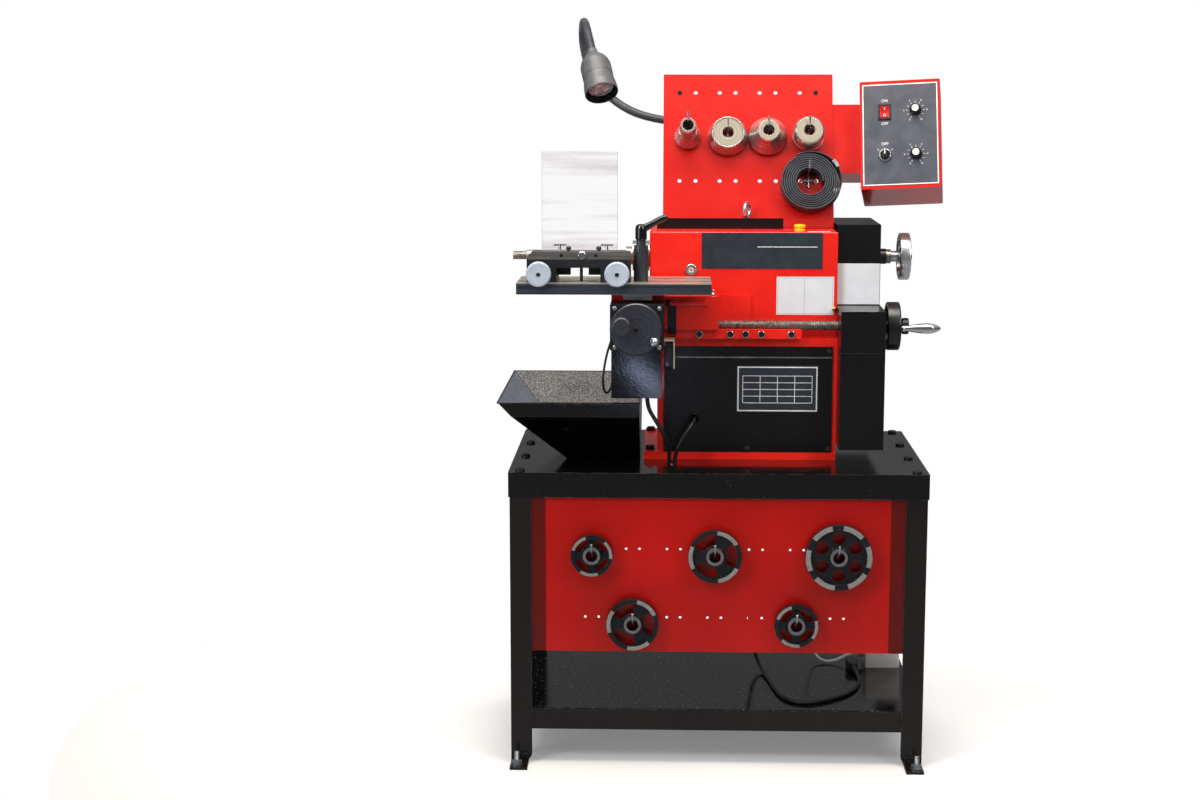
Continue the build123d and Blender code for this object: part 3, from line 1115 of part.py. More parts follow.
# Cable from the front panel's gland to the bench
with BuildPart() as panel_cable:
    cord("panel cable", FEED_CORD_R, [
        spot(GLAND[0], LOWER_FRONT - 10, GLAND[1]), spot(GLAND[0], -144, GLAND[1]), spot(-65, -163, GLAND[1] - 19),
        spot(-81, -166, GLAND[1] - 45), spot(-91, -161, GLAND[1] - 71), spot(-94.5, -157, GLAND[1] - 101),
        spot(-95, -154, GLAND[1] - 135)])
finish(panel_cable, "panel_cable")

# Supply box on the shelf with its white cable, and the black mains lead with its plug
shelf_z = RAIL_TOP + SHELF_T
with BuildPart() as power_box:
    block((SUPPLY_X + 12, SUPPLY_X + 92), (62, 160), (shelf_z, shelf_z + 78))
    fillet(power_box.edges().filter_by(Axis.Z), 4)
    x_bar(9, (SUPPLY_X, SUPPLY_X + 13), 100, shelf_z + 24)
finish(power_box, "power_box")

with BuildPart() as control_cable:
    low = shelf_z + WHITE_CORD_R + 0.2
    cord("control cable", WHITE_CORD_R, [
        spot(SUPPLY_X, 100, shelf_z + 24), spot(SUPPLY_X - 21, 100, shelf_z + 24), spot(SUPPLY_X - 51, 90, low + 4),
        spot(SUPPLY_X - 85, 92, low), spot(SUPPLY_X - 105, 118, low + 16), spot(SUPPLY_X - 113, 136, low + 62),
        spot(SUPPLY_X - 119, 152, low + 120), spot(SUPPLY_X - 125, 172, low + 180), spot(SUPPLY_X - 136, 196, low + 232),
        spot(SUPPLY_X - 147, 214, low + 288), spot(SUPPLY_X - 153, 226, low + 346), spot(SUPPLY_X - 161, 236, low + 402),
        spot(SUPPLY_X - 167, 242, LEG_TOP - 62), spot(SUPPLY_X - 167, 242, LEG_TOP)])
finish(control_cable, "control_cable")

with BuildPart() as mains_lead:
    low = shelf_z + MAINS_R + 0.2
    block((SUPPLY_X - 33, SUPPLY_X - 5), (20, 66), (shelf_z, shelf_z + 26))
    cord("mains lead", MAINS_R, [
        spot(SUPPLY_X - 17, 22, low + 8), spot(SUPPLY_X - 12, -10, low + 3), spot(SUPPLY_X - 10, -66, low),
        spot(SUPPLY_X - 35, -146, low), spot(SUPPLY_X - 91, -206, low), spot(SUPPLY_X - 151, -236, low),
        spot(SUPPLY_X - 191, -200, low), spot(SUPPLY_X - 207, -130, low), spot(SUPPLY_X - 217, -50, low),
        spot(SUPPLY_X - 231, 24, low + 2), spot(SUPPLY_X - 249, 76, low + 40), spot(SUPPLY_X - 257, 116, low + 120),
        spot(SUPPLY_X - 263, 142, low + 210), spot(SUPPLY_X - 267, 160, low + 310), spot(SUPPLY_X - 271, 170, low + 408),
        spot(SUPPLY_X - 271, 170, LEG_TOP)])
finish(mains_lead, "mains_lead")
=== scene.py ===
import math

import bmesh
import bpy
from mathutils import Matrix, Quaternion, Vector


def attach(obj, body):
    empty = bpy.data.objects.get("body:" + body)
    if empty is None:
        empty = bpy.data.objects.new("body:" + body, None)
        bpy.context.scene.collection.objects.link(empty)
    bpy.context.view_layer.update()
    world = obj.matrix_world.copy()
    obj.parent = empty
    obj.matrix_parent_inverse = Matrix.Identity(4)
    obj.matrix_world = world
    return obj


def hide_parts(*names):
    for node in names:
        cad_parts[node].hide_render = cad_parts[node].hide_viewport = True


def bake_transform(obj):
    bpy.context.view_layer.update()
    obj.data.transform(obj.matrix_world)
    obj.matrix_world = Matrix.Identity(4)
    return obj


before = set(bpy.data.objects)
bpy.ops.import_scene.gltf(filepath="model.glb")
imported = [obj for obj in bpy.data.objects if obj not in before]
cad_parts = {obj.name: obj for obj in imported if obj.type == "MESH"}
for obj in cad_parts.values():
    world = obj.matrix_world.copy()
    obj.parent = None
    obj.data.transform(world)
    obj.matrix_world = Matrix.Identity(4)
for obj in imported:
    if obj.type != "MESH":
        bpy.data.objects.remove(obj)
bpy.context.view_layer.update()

bl_info = {
    "name": "Brake lathe finishes",
    "version": (1, 0, 0),
    "blender": (4, 5, 0),
    "location": "View3D > Sidebar > Lathe",
    "description": "Dresses the brake lathe's solids with its finishes, cords and small fittings",
    "category": "Object",
}

# Numbers are millimetres from the bench's middle on the floor, X to the right, Y to the back, Z up.
BENCH_MIDDLE = Vector((-0.020, 0.012, 0.0))
MILL = Matrix.Translation(BENCH_MIDDLE) @ Matrix.Scale(0.001, 4)
TURN = 2 * math.pi
SHARP_ANGLE = math.radians(34)
FLOOR_REACH = 1.5
# Rings of corners along one rib of a hose or one pitch of a thread
RINGS_A_TURN = 6.0
# Stretch of a metal's streaks: none, along X, or as rings on the UV of a turned piece
EVEN = (1.0, 1.0, 1.0)
LENGTHWAYS = (0.02, 1.0, 1.0)
RINGS = (0.0004, 1.0, 1.0)
# The tool board leans back, and the control box beside it is turned a little to the left
LEAN = math.radians(19)
YAW = math.radians(8.6)
BOARD_FOOT = (40, 1149)
BOARD_OUT = Vector((0, -math.cos(LEAN), math.sin(LEAN)))
BOARD_UP = Vector((0, math.sin(LEAN), math.cos(LEAN)))
BOX_MIDDLE = Vector((406, 49, 1359))
BOX_RIGHT = Vector((1, 0, 0)) * math.cos(YAW) + BOARD_OUT * math.sin(YAW)
BOX_OUT = BOARD_OUT * math.cos(YAW) - Vector((1, 0, 0)) * math.sin(YAW)
# Y and Z of the axes along X
SPINDLE = (60, 1085)
FEED = (-93, 945)
HANDLE = (-137, 945)
# One-inch bore of the adapters and cones, and the arbor that fits it
BORE = 12.7
LAMP_AIM = Vector((0.203, -0.590, -0.782)).normalized()


def framed(origin, x_dir, z_dir):
    """Matrix from local millimetres to the frame, with local x and z along two directions."""
    z_axis = Vector(z_dir).normalized()
    x_axis = Vector(x_dir).normalized()
    turn = Matrix((x_axis, z_axis.cross(x_axis), z_axis)).transposed().to_4x4()
    return MILL @ Matrix.Translation(origin) @ turn


def facing(x, y, z):
    """Local z towards the front, local y up."""
    return framed((x, y, z), (1, 0, 0), (0, -1, 0))


def rightward(x, y, z):
    """Local z to the right, local y up."""
    return framed((x, y, z), (0, 1, 0), (1, 0, 0))


def upward(x, y, z):
    """Local z up, local x to the right."""
    return framed((x, y, z), (1, 0, 0), (0, 0, 1))


def on_board(x, v, out=0.0):
    """On the leaning tool board: x to the right, v up the slope, out from its face."""
    return framed(Vector((x, *BOARD_FOOT)) + BOARD_UP * v + BOARD_OUT * out, (1, 0, 0), BOARD_OUT)


def on_box(u, v, out=0.0):
    """On the control box's face: u to the right, v up the slope, out from its face."""
    return framed(BOX_MIDDLE + BOX_RIGHT * u + BOARD_UP * v + BOX_OUT * out, BOX_RIGHT, BOX_OUT)


def linear(code):
    """Linear colour of an sRGB hex value."""
    parts = [int(code[i:i + 2], 16) / 255 for i in (0, 2, 4)]
    return tuple(p / 12.92 if p <= 0.04045 else ((p + 0.055) / 1.055) ** 2.4 for p in parts) + (1.0,)


def per_mm(size):
    """Texture scale whose pattern repeats in about that many millimetres."""
    return 1000.0 / size


def add(tree, kind, inputs=(), ramp=(), **settings):
    """Adds a node, sets its fields and colour stops, and fills its inputs or links them.

    An input is given as a value, as a socket, or as a node, whose first output is meant.
    """
    node = tree.nodes.new(kind)
    for field, value in settings.items():
        setattr(node, field, value)
    for socket, value in dict(inputs).items():
        if isinstance(value, bpy.types.Node):
            value = value.outputs[0]
        if isinstance(value, bpy.types.NodeSocket):
            tree.links.new(value, node.inputs[socket])
        else:
            node.inputs[socket].default_value = value
    if ramp:
        stops = node.color_ramp.elements
        while len(stops) < len(ramp):
            stops.new(0.5)
        for stop, (position, colour) in zip(stops, ramp):
            stop.position = position
            stop.color = linear(colour)
    return node


def blank(name, **sockets):
    """New material, whose plain numbers are set on the shader's own sockets, and its Object coordinates."""
    material = bpy.data.materials.new(name)
    material.use_nodes = True
    tree = material.node_tree
    tree.nodes.clear()
    values = {key.replace("_", " "): value for key, value in sockets.items()}
    shader = add(tree, "ShaderNodeBsdfPrincipled", values)
    add(tree, "ShaderNodeOutputMaterial", {"Surface": shader})
    return tree, shader, add(tree, "ShaderNodeTexCoord").outputs["Object"]


def tinted(tree, shader, clouds, shade, hue):
    """Base colour that clouds between a shade and a hue."""
    tint = add(tree, "ShaderNodeValToRGB", {"Fac": clouds}, ramp=((0.3, shade), (0.7, hue)))
    tree.links.new(tint.outputs["Color"], shader.inputs["Base Color"])


def laid_over(tree, shader, share, colour):
    """Mixes a flat colour over the base colour by a share."""
    base = shader.inputs["Base Color"]
    under = base.links[0].from_socket
    mixed = add(tree, "ShaderNodeMix", {0: share, 6: under, 7: linear(colour)}, data_type="RGBA")
    tree.links.new(mixed.outputs[2], base)


def rough_and_bump(tree, shader, place, rough, size, depth, patch=30):
    """Uneven roughness and a fine relief; gives back the clouds of the roughness."""
    cloud = add(tree, "ShaderNodeTexNoise", {"Vector": place, "Scale": per_mm(patch), "Detail": 4.0})
    spread = add(tree, "ShaderNodeMapRange", {"Value": cloud, "From Min": 0.3, "From Max": 0.7,
                                              "To Min": rough[0], "To Max": rough[1]})
    grain = add(tree, "ShaderNodeTexNoise", {"Vector": place, "Scale": per_mm(size), "Detail": 2.0})
    relief = add(tree, "ShaderNodeBump", {"Height": grain, "Distance": depth / 1000, "Strength": 0.6})
    tree.links.new(spread.outputs["Result"], shader.inputs["Roughness"])
    tree.links.new(relief.outputs["Normal"], shader.inputs["Normal"])
    return cloud


def worn(tree, shader, place, bare, amount):
    """Outer edges rubbed towards a barer colour, in broken lengths."""
    soft = add(tree, "ShaderNodeBevel", {"Radius": 0.0012}, samples=6)
    plain = add(tree, "ShaderNodeNewGeometry").outputs["Normal"]
    turn = add(tree, "ShaderNodeVectorMath", {0: soft, 1: plain}, operation="DOT_PRODUCT")
    edge = add(tree, "ShaderNodeMapRange", {"Value": turn.outputs["Value"], "From Min": 0.985,
                                            "From Max": 0.86, "To Min": 0.0, "To Max": amount})
    breaks = add(tree, "ShaderNodeTexNoise", {"Vector": place, "Scale": per_mm(14), "Detail": 5.0})
    gate = add(tree, "ShaderNodeMapRange", {"Value": breaks, "From Min": 0.42, "From Max": 0.58})
    share = add(tree, "ShaderNodeMath", {0: edge, 1: gate}, operation="MULTIPLY")
    laid_over(tree, shader, share, bare)


def enamel(name, hue, shade, rough, peel, depth, bare, amount, coat=0.0):
    """Sprayed and baked enamel: deep colour, orange peel, uneven gloss and rubbed edges."""
    tree, shader, place = blank(name, Coat_Weight=coat, Coat_Roughness=0.06)
    rough_and_bump(tree, shader, place, rough, peel, depth, 60)
    wide = add(tree, "ShaderNodeTexNoise", {"Vector": place, "Scale": per_mm(240), "Detail": 4.0})
    tinted(tree, shader, wide, shade, hue)
    worn(tree, shader, place, bare, amount)
    return tree, shader, place


def metal(name, hue, shade, rough, stretch, size, depth, turned=0.0, metallic=1.0):
    """Cut metal: streaks along the tool's path, which run round a turned piece or along a ground one."""
    tree, shader, place = blank(name, Metallic=metallic, Anisotropic=turned)
    if turned:
        place = add(tree, "ShaderNodeTexCoord").outputs["UV"]
        path = add(tree, "ShaderNodeTangent", direction_type="UV_MAP")
        tree.links.new(path.outputs["Tangent"], shader.inputs["Tangent"])
    line = add(tree, "ShaderNodeMapping", {"Vector": place, "Scale": stretch}).outputs["Vector"]
    detail = 1.0 if turned else 4.0
    streak = add(tree, "ShaderNodeTexNoise", {"Vector": line, "Scale": per_mm(size), "Detail": detail})
    rough_and_bump(tree, shader, line, rough, size, depth, size * 3)
    tinted(tree, shader, streak, shade, hue)


def turned_metal(name, hue, shade, rough, size, metallic, drawn=0.1):
    """Metal off a lathe: rings round the axis, with the highlights drawn out across them."""
    metal(name, hue, shade, rough, RINGS, size, 0.0005, drawn, metallic)


def moulded(name, hue, shade, rough, size, depth, **sockets):
    """Moulded plastic or rubber: even colour with faint clouding and the mould's fine grain."""
    tree, shader, place = blank(name, **sockets)
    cloud = rough_and_bump(tree, shader, place, rough, size, depth)
    tinted(tree, shader, cloud, shade, hue)


def margins(tree, shader, place, half, dark):
    """Painted shade beyond a distance either side of the bench's middle: a darker colour that stands for
    folded sides facing away from the light.
    """
    side = add(tree, "ShaderNodeSeparateXYZ", {"Vector": place})
    off = add(tree, "ShaderNodeMath", {0: side.outputs["X"], 1: -BENCH_MIDDLE.x}, operation="ADD")
    far = add(tree, "ShaderNodeMath", {0: off}, operation="ABSOLUTE")
    side_shade = add(tree, "ShaderNodeMapRange", {"Value": far, "From Min": half, "From Max": half + 0.003})
    laid_over(tree, shader, side_shade, dark)


def flecked(name, hue, fleck, rough, size, share):
    """Speckled coat: dark enamel with pale grains sprayed into it."""
    tree, shader, place = enamel(name, hue, hue, rough, 2.2, 0.12, "55565A", 0.4)
    grains = add(tree, "ShaderNodeTexVoronoi", {"Vector": place, "Scale": per_mm(size)})
    pick = add(tree, "ShaderNodeSeparateColor", {"Color": grains.outputs["Color"]})
    dot = add(tree, "ShaderNodeMapRange", {"Value": grains.outputs["Distance"], "From Min": 0.42,
                                           "From Max": 0.30})
    some = add(tree, "ShaderNodeMath", {0: pick, 1: 1 - share}, operation="GREATER_THAN")
    show = add(tree, "ShaderNodeMath", {0: dot, 1: some}, operation="MULTIPLY")
    laid_over(tree, shader, show, fleck)


def scratched(tree, shader, place):
    """Fine pale scratches across a gloss coat."""
    lines = add(tree, "ShaderNodeMapping", {"Vector": place, "Rotation": (0.3, 0.2, 0.7),
                                            "Scale": (1.0, 0.05, 0.3)})
    hair = add(tree, "ShaderNodeTexNoise", {"Vector": lines, "Scale": per_mm(3.5), "Detail": 3.0})
    thin = add(tree, "ShaderNodeMapRange", {"Value": hair, "From Min": 0.70, "From Max": 0.76, "To Max": 0.2})
    laid_over(tree, shader, thin, "8A8478")


def clear(name, tint, alpha, rim):
    """Clear sheet or glass: see-through faces with faint smears, and denser cut edges."""
    tree, shader, place = blank(name, IOR=1.49, Base_Color=linear(tint))
    smear = add(tree, "ShaderNodeMapping", {"Vector": place, "Scale": (0.12, 1.0, 2.6)})
    cloud = add(tree, "ShaderNodeTexNoise", {"Vector": smear, "Scale": per_mm(60), "Detail": 3.0})
    haze = add(tree, "ShaderNodeMapRange", {"Value": cloud, "From Min": 0.46, "From Max": 0.72,
                                            "To Min": alpha[0], "To Max": alpha[1]})
    normal = add(tree, "ShaderNodeNewGeometry").outputs["Normal"]
    side = add(tree, "ShaderNodeSeparateXYZ", {"Vector": normal})
    flat = add(tree, "ShaderNodeMath", {0: side.outputs["Y"]}, operation="ABSOLUTE")
    cut = add(tree, "ShaderNodeMath", {0: flat, 1: 0.9}, operation="LESS_THAN")
    mixed = add(tree, "ShaderNodeMix", {0: cut, 2: haze, 3: rim})
    rough = add(tree, "ShaderNodeMapRange", {"Value": cloud, "To Min": 0.03, "To Max": 0.12})
    tree.links.new(mixed.outputs[0], shader.inputs["Alpha"])
    tree.links.new(rough.outputs["Result"], shader.inputs["Roughness"])


def walled(shell, loops):
    """Joins rings of as many corners each by four-sided faces, which it gives back ring by ring."""
    count = len(loops[0])
    return [[shell.faces.new((low[k], low[(k + 1) % count], high[(k + 1) % count], high[k]))
             for k in range(count)] for low, high in zip(loops, loops[1:])]


def rounded(shell, size):
    """Rounds the sharp edges of a shell whose faces point outwards."""
    keen = [edge for edge in shell.edges if edge.calc_face_angle(0) > SHARP_ANGLE]
    bmesh.ops.bevel(shell, geom=keen, offset=size, segments=2, profile=0.5, affect="EDGES")


class Form:
    """Collects the shells of one piece and makes them one mesh."""

    def __init__(self, *finishes):
        self.mesh = bmesh.new()
        self.mesh.loops.layers.uv.new("UVMap")
        self.finishes = [bpy.data.materials[name] for name in finishes]

    def put(self, shell, place, finish=None):
        """Takes a closed shell in local millimetres, with one finish or with its faces' own."""
        if finish is not None:
            bmesh.ops.recalc_face_normals(shell, faces=shell.faces[:])
            for face in shell.faces:
                face.material_index = finish
                face.smooth = True
        shell.transform(place)
        part = bpy.data.meshes.new("shell")
        shell.to_mesh(part)
        shell.free()
        self.mesh.from_mesh(part)
        bpy.data.meshes.remove(part)

    def block(self, x, y, z, finish=0, place=MILL, edge=0.6):
        """Box between two ends on each axis, with rounded edges."""
        shell = bmesh.new()
        bmesh.ops.create_cube(shell, size=1)
        for corner in shell.verts:
            corner.co = (x[corner.co.x > 0], y[corner.co.y > 0], z[corner.co.z > 0])
        bmesh.ops.bevel(shell, geom=shell.edges[:], offset=edge, segments=2, profile=0.5, affect="EDGES")
        self.put(shell, place, finish)

    def lathe(self, profile, finish=0, place=MILL, steps=48, ring=False, soft=0.0):
        """Turned shell about local Z from pairs of height and radius, with u round it and v along it."""
        if soft:
            profile = softened(profile, soft, ring)
        shell = bmesh.new()
        layer = shell.loops.layers.uv.new("UVMap")
        loops = []
        for along, radius in profile:
            turns = [TURN * i / steps for i in range(steps if radius > 1e-6 else 1)]
            loops.append([shell.verts.new((*polar(radius, t), along)) for t in turns])
        pairs = list(zip(range(len(loops)), range(1, len(loops)))) + ([(len(loops) - 1, 0)] if ring else [])
        length = 0.0
        for low, high in pairs:
            step = math.dist(profile[low], profile[high]) / 1000
            for i in range(steps):
                corners = []
                for loop, turn, rise in ((low, i, 0), (low, i + 1, 0), (high, i + 1, step), (high, i, step)):
                    vert = loops[loop][turn % len(loops[loop])]
                    if vert not in [c[0] for c in corners]:
                        corners.append((vert, turn / steps, length + rise))
                if len(corners) > 2:
                    face = shell.faces.new([c[0] for c in corners])
                    for loop, corner in zip(face.loops, corners):
                        loop[layer].uv = corner[1:]
            length += step
        self.put(shell, place, finish)

    def tube(self, points, radius, finish=0, place=MILL, sides=12):
        """Round bar through points, with one radius or one for each point."""
        points = [Vector(p) for p in points]
        radii = radius if isinstance(radius, (list, tuple)) else [radius] * len(points)
        side = (points[1] - points[0]).orthogonal()
        turns = [TURN * k / sides for k in range(sides)]
        rings = []
        for i, (point, size) in enumerate(zip(points, radii)):
            aim = (points[min(i + 1, len(points) - 1)] - points[max(i - 1, 0)]).normalized()
            side = (side - aim * side.dot(aim)).normalized()
            up = aim.cross(side)
            rings.append([point + (side * math.cos(t) + up * math.sin(t)) * size for t in turns])
        self.hull(rings, finish, place)

    def hull(self, rings, finish=0, place=MILL, edge=0.0):
        """Closed shell through rings of as many points each, capped at both ends."""
        shell = bmesh.new()
        loops = [[shell.verts.new(p) for p in ring] for ring in rings]
        walled(shell, loops)
        shell.faces.new(loops[0])
        shell.faces.new(loops[-1])
        bmesh.ops.recalc_face_normals(shell, faces=shell.faces[:])
        if edge:
            rounded(shell, edge)
        self.put(shell, place, finish)

    def plate(self, outlines, z, finish=0, place=MILL, edge=0.4):
        """Flat plate between two heights from closed outlines, inner ones being holes."""
        curve = bpy.data.curves.new("outline", "CURVE")
        curve.dimensions = "2D"
        curve.fill_mode = "BOTH"
        for outline in outlines:
            spline = curve.splines.new("POLY")
            spline.points.add(len(outline) - 1)
            for point, (x, y) in zip(spline.points, outline):
                point.co = (x, y, 0, 1)
            spline.use_cyclic_u = True
        curve.extrude = (z[1] - z[0]) / 2 - edge
        curve.bevel_depth = edge
        curve.bevel_resolution = 1
        curve.offset = -edge
        middle = Matrix.Translation((0, 0, (z[0] + z[1]) / 2))
        self.take(meshed(curve), finish, place @ middle, merge=True)

    def words(self, text, size, finish, place):
        """Generic marks such as ON, OFF or a plain number, as thin raised letters."""
        letters = bpy.data.curves.new("words", "FONT")
        letters.body = text
        letters.size = size
        letters.extrude = 0.12
        letters.align_x = "CENTER"
        letters.align_y = "CENTER"
        self.take(meshed(letters), finish, place, merge=True)

    def bars(self, count, radius, size, rise, finish, place, start=0.0, step=None):
        """Bars round local Z at a height, such as flutes, knurls and ticks, all round or by a step."""
        self.take(grown(bars_round_a_circle, nothing(), self.finishes[finish], Count=count, Radius=radius,
                        Start=start, Step=step or TURN / count, Size=size, Rise=rise), finish, place)

    def thread(self, length, radius, depth, pitch, finish, place):
        """Threaded bar along local Z."""
        self.take(grown(screw_thread, nothing(), self.finishes[finish], Length=length, Radius=radius,
                        Depth=depth, Pitch=pitch), finish, place)

    def heads(self, spots, radius, height, recess, sides, finish, place):
        """Screw heads with a socket, at spots across local Z."""
        dots = bpy.data.meshes.new("dots")
        dots.from_pydata([(x, y, 0) for x, y in spots], [], [])
        self.take(grown(screw_heads, dots, self.finishes[finish], Radius=radius, Height=height,
                        Recess=recess, Sides=sides), finish, place)

    def take(self, part, finish, place, merge=False):
        """Takes a mesh made elsewhere, in local millimetres."""
        shell = bmesh.new()
        shell.from_mesh(part)
        bpy.data.meshes.remove(part)
        if merge:
            bmesh.ops.remove_doubles(shell, verts=shell.verts[:], dist=0.0005)
        self.put(shell, place, finish)

    def done(self, name, body, slot, *nodes):
        """Makes the piece, rides it on its body and hides the CAD nodes that it stands for."""
        for edge in self.mesh.edges:
            edge.smooth = len(edge.link_faces) != 2 or edge.calc_face_angle(0) < SHARP_ANGLE
        mesh = bpy.data.meshes.new(name)
        self.mesh.to_mesh(mesh)
        self.mesh.free()
        for finish in self.finishes:
            mesh.materials.append(finish)
        piece = shown(name, mesh)
        piece.modifiers.new("even", "WEIGHTED_NORMAL").keep_sharp = True
        piece.data = evaluated(piece)
        piece.modifiers.clear()
        bpy.data.meshes.remove(mesh)
        piece.data.name = name
        if body:
            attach(piece, body)
        if nodes:
            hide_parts(*nodes)
        return piece


def softened(profile, size, ring):
    """Outline with its corners rounded by three points each."""
    count = len(profile)
    result = []
    for i, corner in enumerate(profile):
        if corner[1] < 1e-6 or not ring and i in (0, count - 1):
            result.append(corner)
            continue
        here, before, after = (Vector(profile[k % count]) for k in (i, i - 1, i + 1))
        a = here + (before - here).normalized() * min(size, 0.4 * (before - here).length)
        b = here + (after - here).normalized() * min(size, 0.4 * (after - here).length)
        result += [tuple(a), tuple((a + b) / 4 + here / 2), tuple(b)]
    return result


def round_bar(low, high, radius):
    """Profile of a plain round bar or disc between two heights."""
    return [(low, 0), (low, radius), (high, radius), (high, 0)]


def polar(radius, turn):
    """Point at a distance from the middle, in a direction in radians."""
    return radius * math.cos(turn), radius * math.sin(turn)


def circle(radius, x=0.0, y=0.0, steps=40):
    """Closed round outline."""
    turns = [TURN * i / steps for i in range(steps)]
    return [(x + radius * math.cos(t), y + radius * math.sin(t)) for t in turns]


def sector(inner, outer, middle, half, steps=14):
    """Closed outline of a piece of a ring, about an angle in degrees."""
    turns = [math.radians(middle - half + 2 * half * i / steps) for i in range(steps + 1)]
    return [polar(outer, t) for t in turns] + [polar(inner, t) for t in reversed(turns)]


def oblong(x, y):
    """Closed four-sided outline between two ends on each axis."""
    return [(x[0], y[0]), (x[1], y[0]), (x[1], y[1]), (x[0], y[1])]


def border(x, y, wide):
    """Outlines of a thin frame inside an oblong."""
    return [oblong(x, y), oblong((x[0] + wide, x[1] - wide), (y[0] + wide, y[1] - wide))]


def shown(name, data):
    """New object in the scene."""
    thing = bpy.data.objects.new(name, data)
    bpy.context.scene.collection.objects.link(thing)
    return thing


def evaluated(thing):
    """Plain mesh of an object with its modifiers."""
    bpy.context.view_layer.update()
    return bpy.data.meshes.new_from_object(thing.evaluated_get(bpy.context.evaluated_depsgraph_get()))


def meshed(data):
    """Plain mesh of a curve or of words."""
    holder = shown("holder", data)
    mesh = evaluated(holder)
    bpy.data.objects.remove(holder)
    return mesh


def nodes_for(name, sizes):
    """Geometry Nodes tree with named inputs, and the outputs of its group input."""
    tree = bpy.data.node_groups.new(name, "GeometryNodeTree")
    tree.interface.new_socket("Geometry", in_out="INPUT", socket_type="NodeSocketGeometry")
    for label, kind in sizes.items():
        tree.interface.new_socket(label, in_out="INPUT", socket_type="NodeSocket" + kind)
    tree.interface.new_socket("Material", in_out="INPUT", socket_type="NodeSocketMaterial")
    tree.interface.new_socket("Geometry", in_out="OUTPUT", socket_type="NodeSocketGeometry")
    return tree, add(tree, "NodeGroupInput").outputs


def closed(tree, made, given):
    """Ends a tree in Realize Instances and Set Material."""
    real = add(tree, "GeometryNodeRealizeInstances", {"Geometry": made})
    coloured = add(tree, "GeometryNodeSetMaterial", {"Geometry": real, "Material": given["Material"]})
    add(tree, "NodeGroupOutput", {0: coloured})
    return tree


def grown(maker, data, material, **values):
    """Plain mesh of a tree that is made once, with its inputs set by their identifiers."""
    tree = bpy.data.node_groups.get(maker.__name__) or maker()
    holder = shown("holder", data)
    modifier = holder.modifiers.new("nodes", "NODES")
    modifier.node_group = tree
    values["Material"] = material
    for item in tree.interface.items_tree:
        if item.in_out == "INPUT" and item.name in values:
            modifier[item.identifier] = values[item.name]
    mesh = evaluated(holder)
    holder.modifiers.clear()
    bpy.data.objects.remove(holder)
    return mesh


def bars_round_a_circle():
    """Bars set round a circle, such as ticks, flutes and knurls."""
    tree, given = nodes_for("bars_round_a_circle", {"Count": "Int", "Radius": "Float", "Start": "Float",
                                                    "Step": "Float", "Size": "Vector", "Rise": "Float"})
    index = add(tree, "GeometryNodeInputIndex")
    turn = add(tree, "ShaderNodeMath", {0: index, 1: given["Step"], 2: given["Start"]},
               operation="MULTIPLY_ADD")
    across = add(tree, "ShaderNodeMath", {0: turn}, operation="COSINE")
    along = add(tree, "ShaderNodeMath", {0: turn}, operation="SINE")
    x = add(tree, "ShaderNodeMath", {0: across, 1: given["Radius"]}, operation="MULTIPLY")
    y = add(tree, "ShaderNodeMath", {0: along, 1: given["Radius"]}, operation="MULTIPLY")
    spot = add(tree, "ShaderNodeCombineXYZ", {0: x, 1: y, 2: given["Rise"]})
    points = add(tree, "GeometryNodePoints", {"Count": given["Count"], "Position": spot})
    bar = add(tree, "GeometryNodeMeshCube", {"Size": given["Size"]})
    aim = add(tree, "ShaderNodeCombineXYZ", {2: turn})
    keep = add(tree, "GeometryNodeStoreNamedAttribute", {"Geometry": points, "Name": "aim", "Value": aim},
               data_type="FLOAT_VECTOR", domain="POINT")
    read = add(tree, "GeometryNodeInputNamedAttribute", {"Name": "aim"}, data_type="FLOAT_VECTOR")
    placed = add(tree, "GeometryNodeInstanceOnPoints", {"Points": keep, "Instance": bar, "Rotation": read})
    return closed(tree, placed, given)


def ribbed_hose():
    """Ribbed hose along a curve."""
    tree, given = nodes_for("ribbed_hose", {"Ribs": "Int", "Crest": "Float", "Root": "Float"})
    steps = add(tree, "ShaderNodeMath", {0: given["Ribs"], 1: RINGS_A_TURN, 2: 1.0}, operation="MULTIPLY_ADD")
    line = add(tree, "GeometryNodeResampleCurve", {"Curve": given["Geometry"], "Count": steps})
    index = add(tree, "GeometryNodeInputIndex")
    phase = add(tree, "ShaderNodeMath", {0: index, 1: RINGS_A_TURN}, operation="MODULO")
    high = add(tree, "ShaderNodeMath", {0: phase, 1: 2.5}, operation="GREATER_THAN")
    size = add(tree, "ShaderNodeMix", {0: high, 2: given["Root"], 3: given["Crest"]})
    section = add(tree, "GeometryNodeCurvePrimitiveCircle", {"Resolution": 20, "Radius": 1.0})
    wall = add(tree, "GeometryNodeCurveToMesh", {"Curve": line, "Profile Curve": section, "Scale": size,
                                                "Fill Caps": True})
    return closed(tree, wall, given)


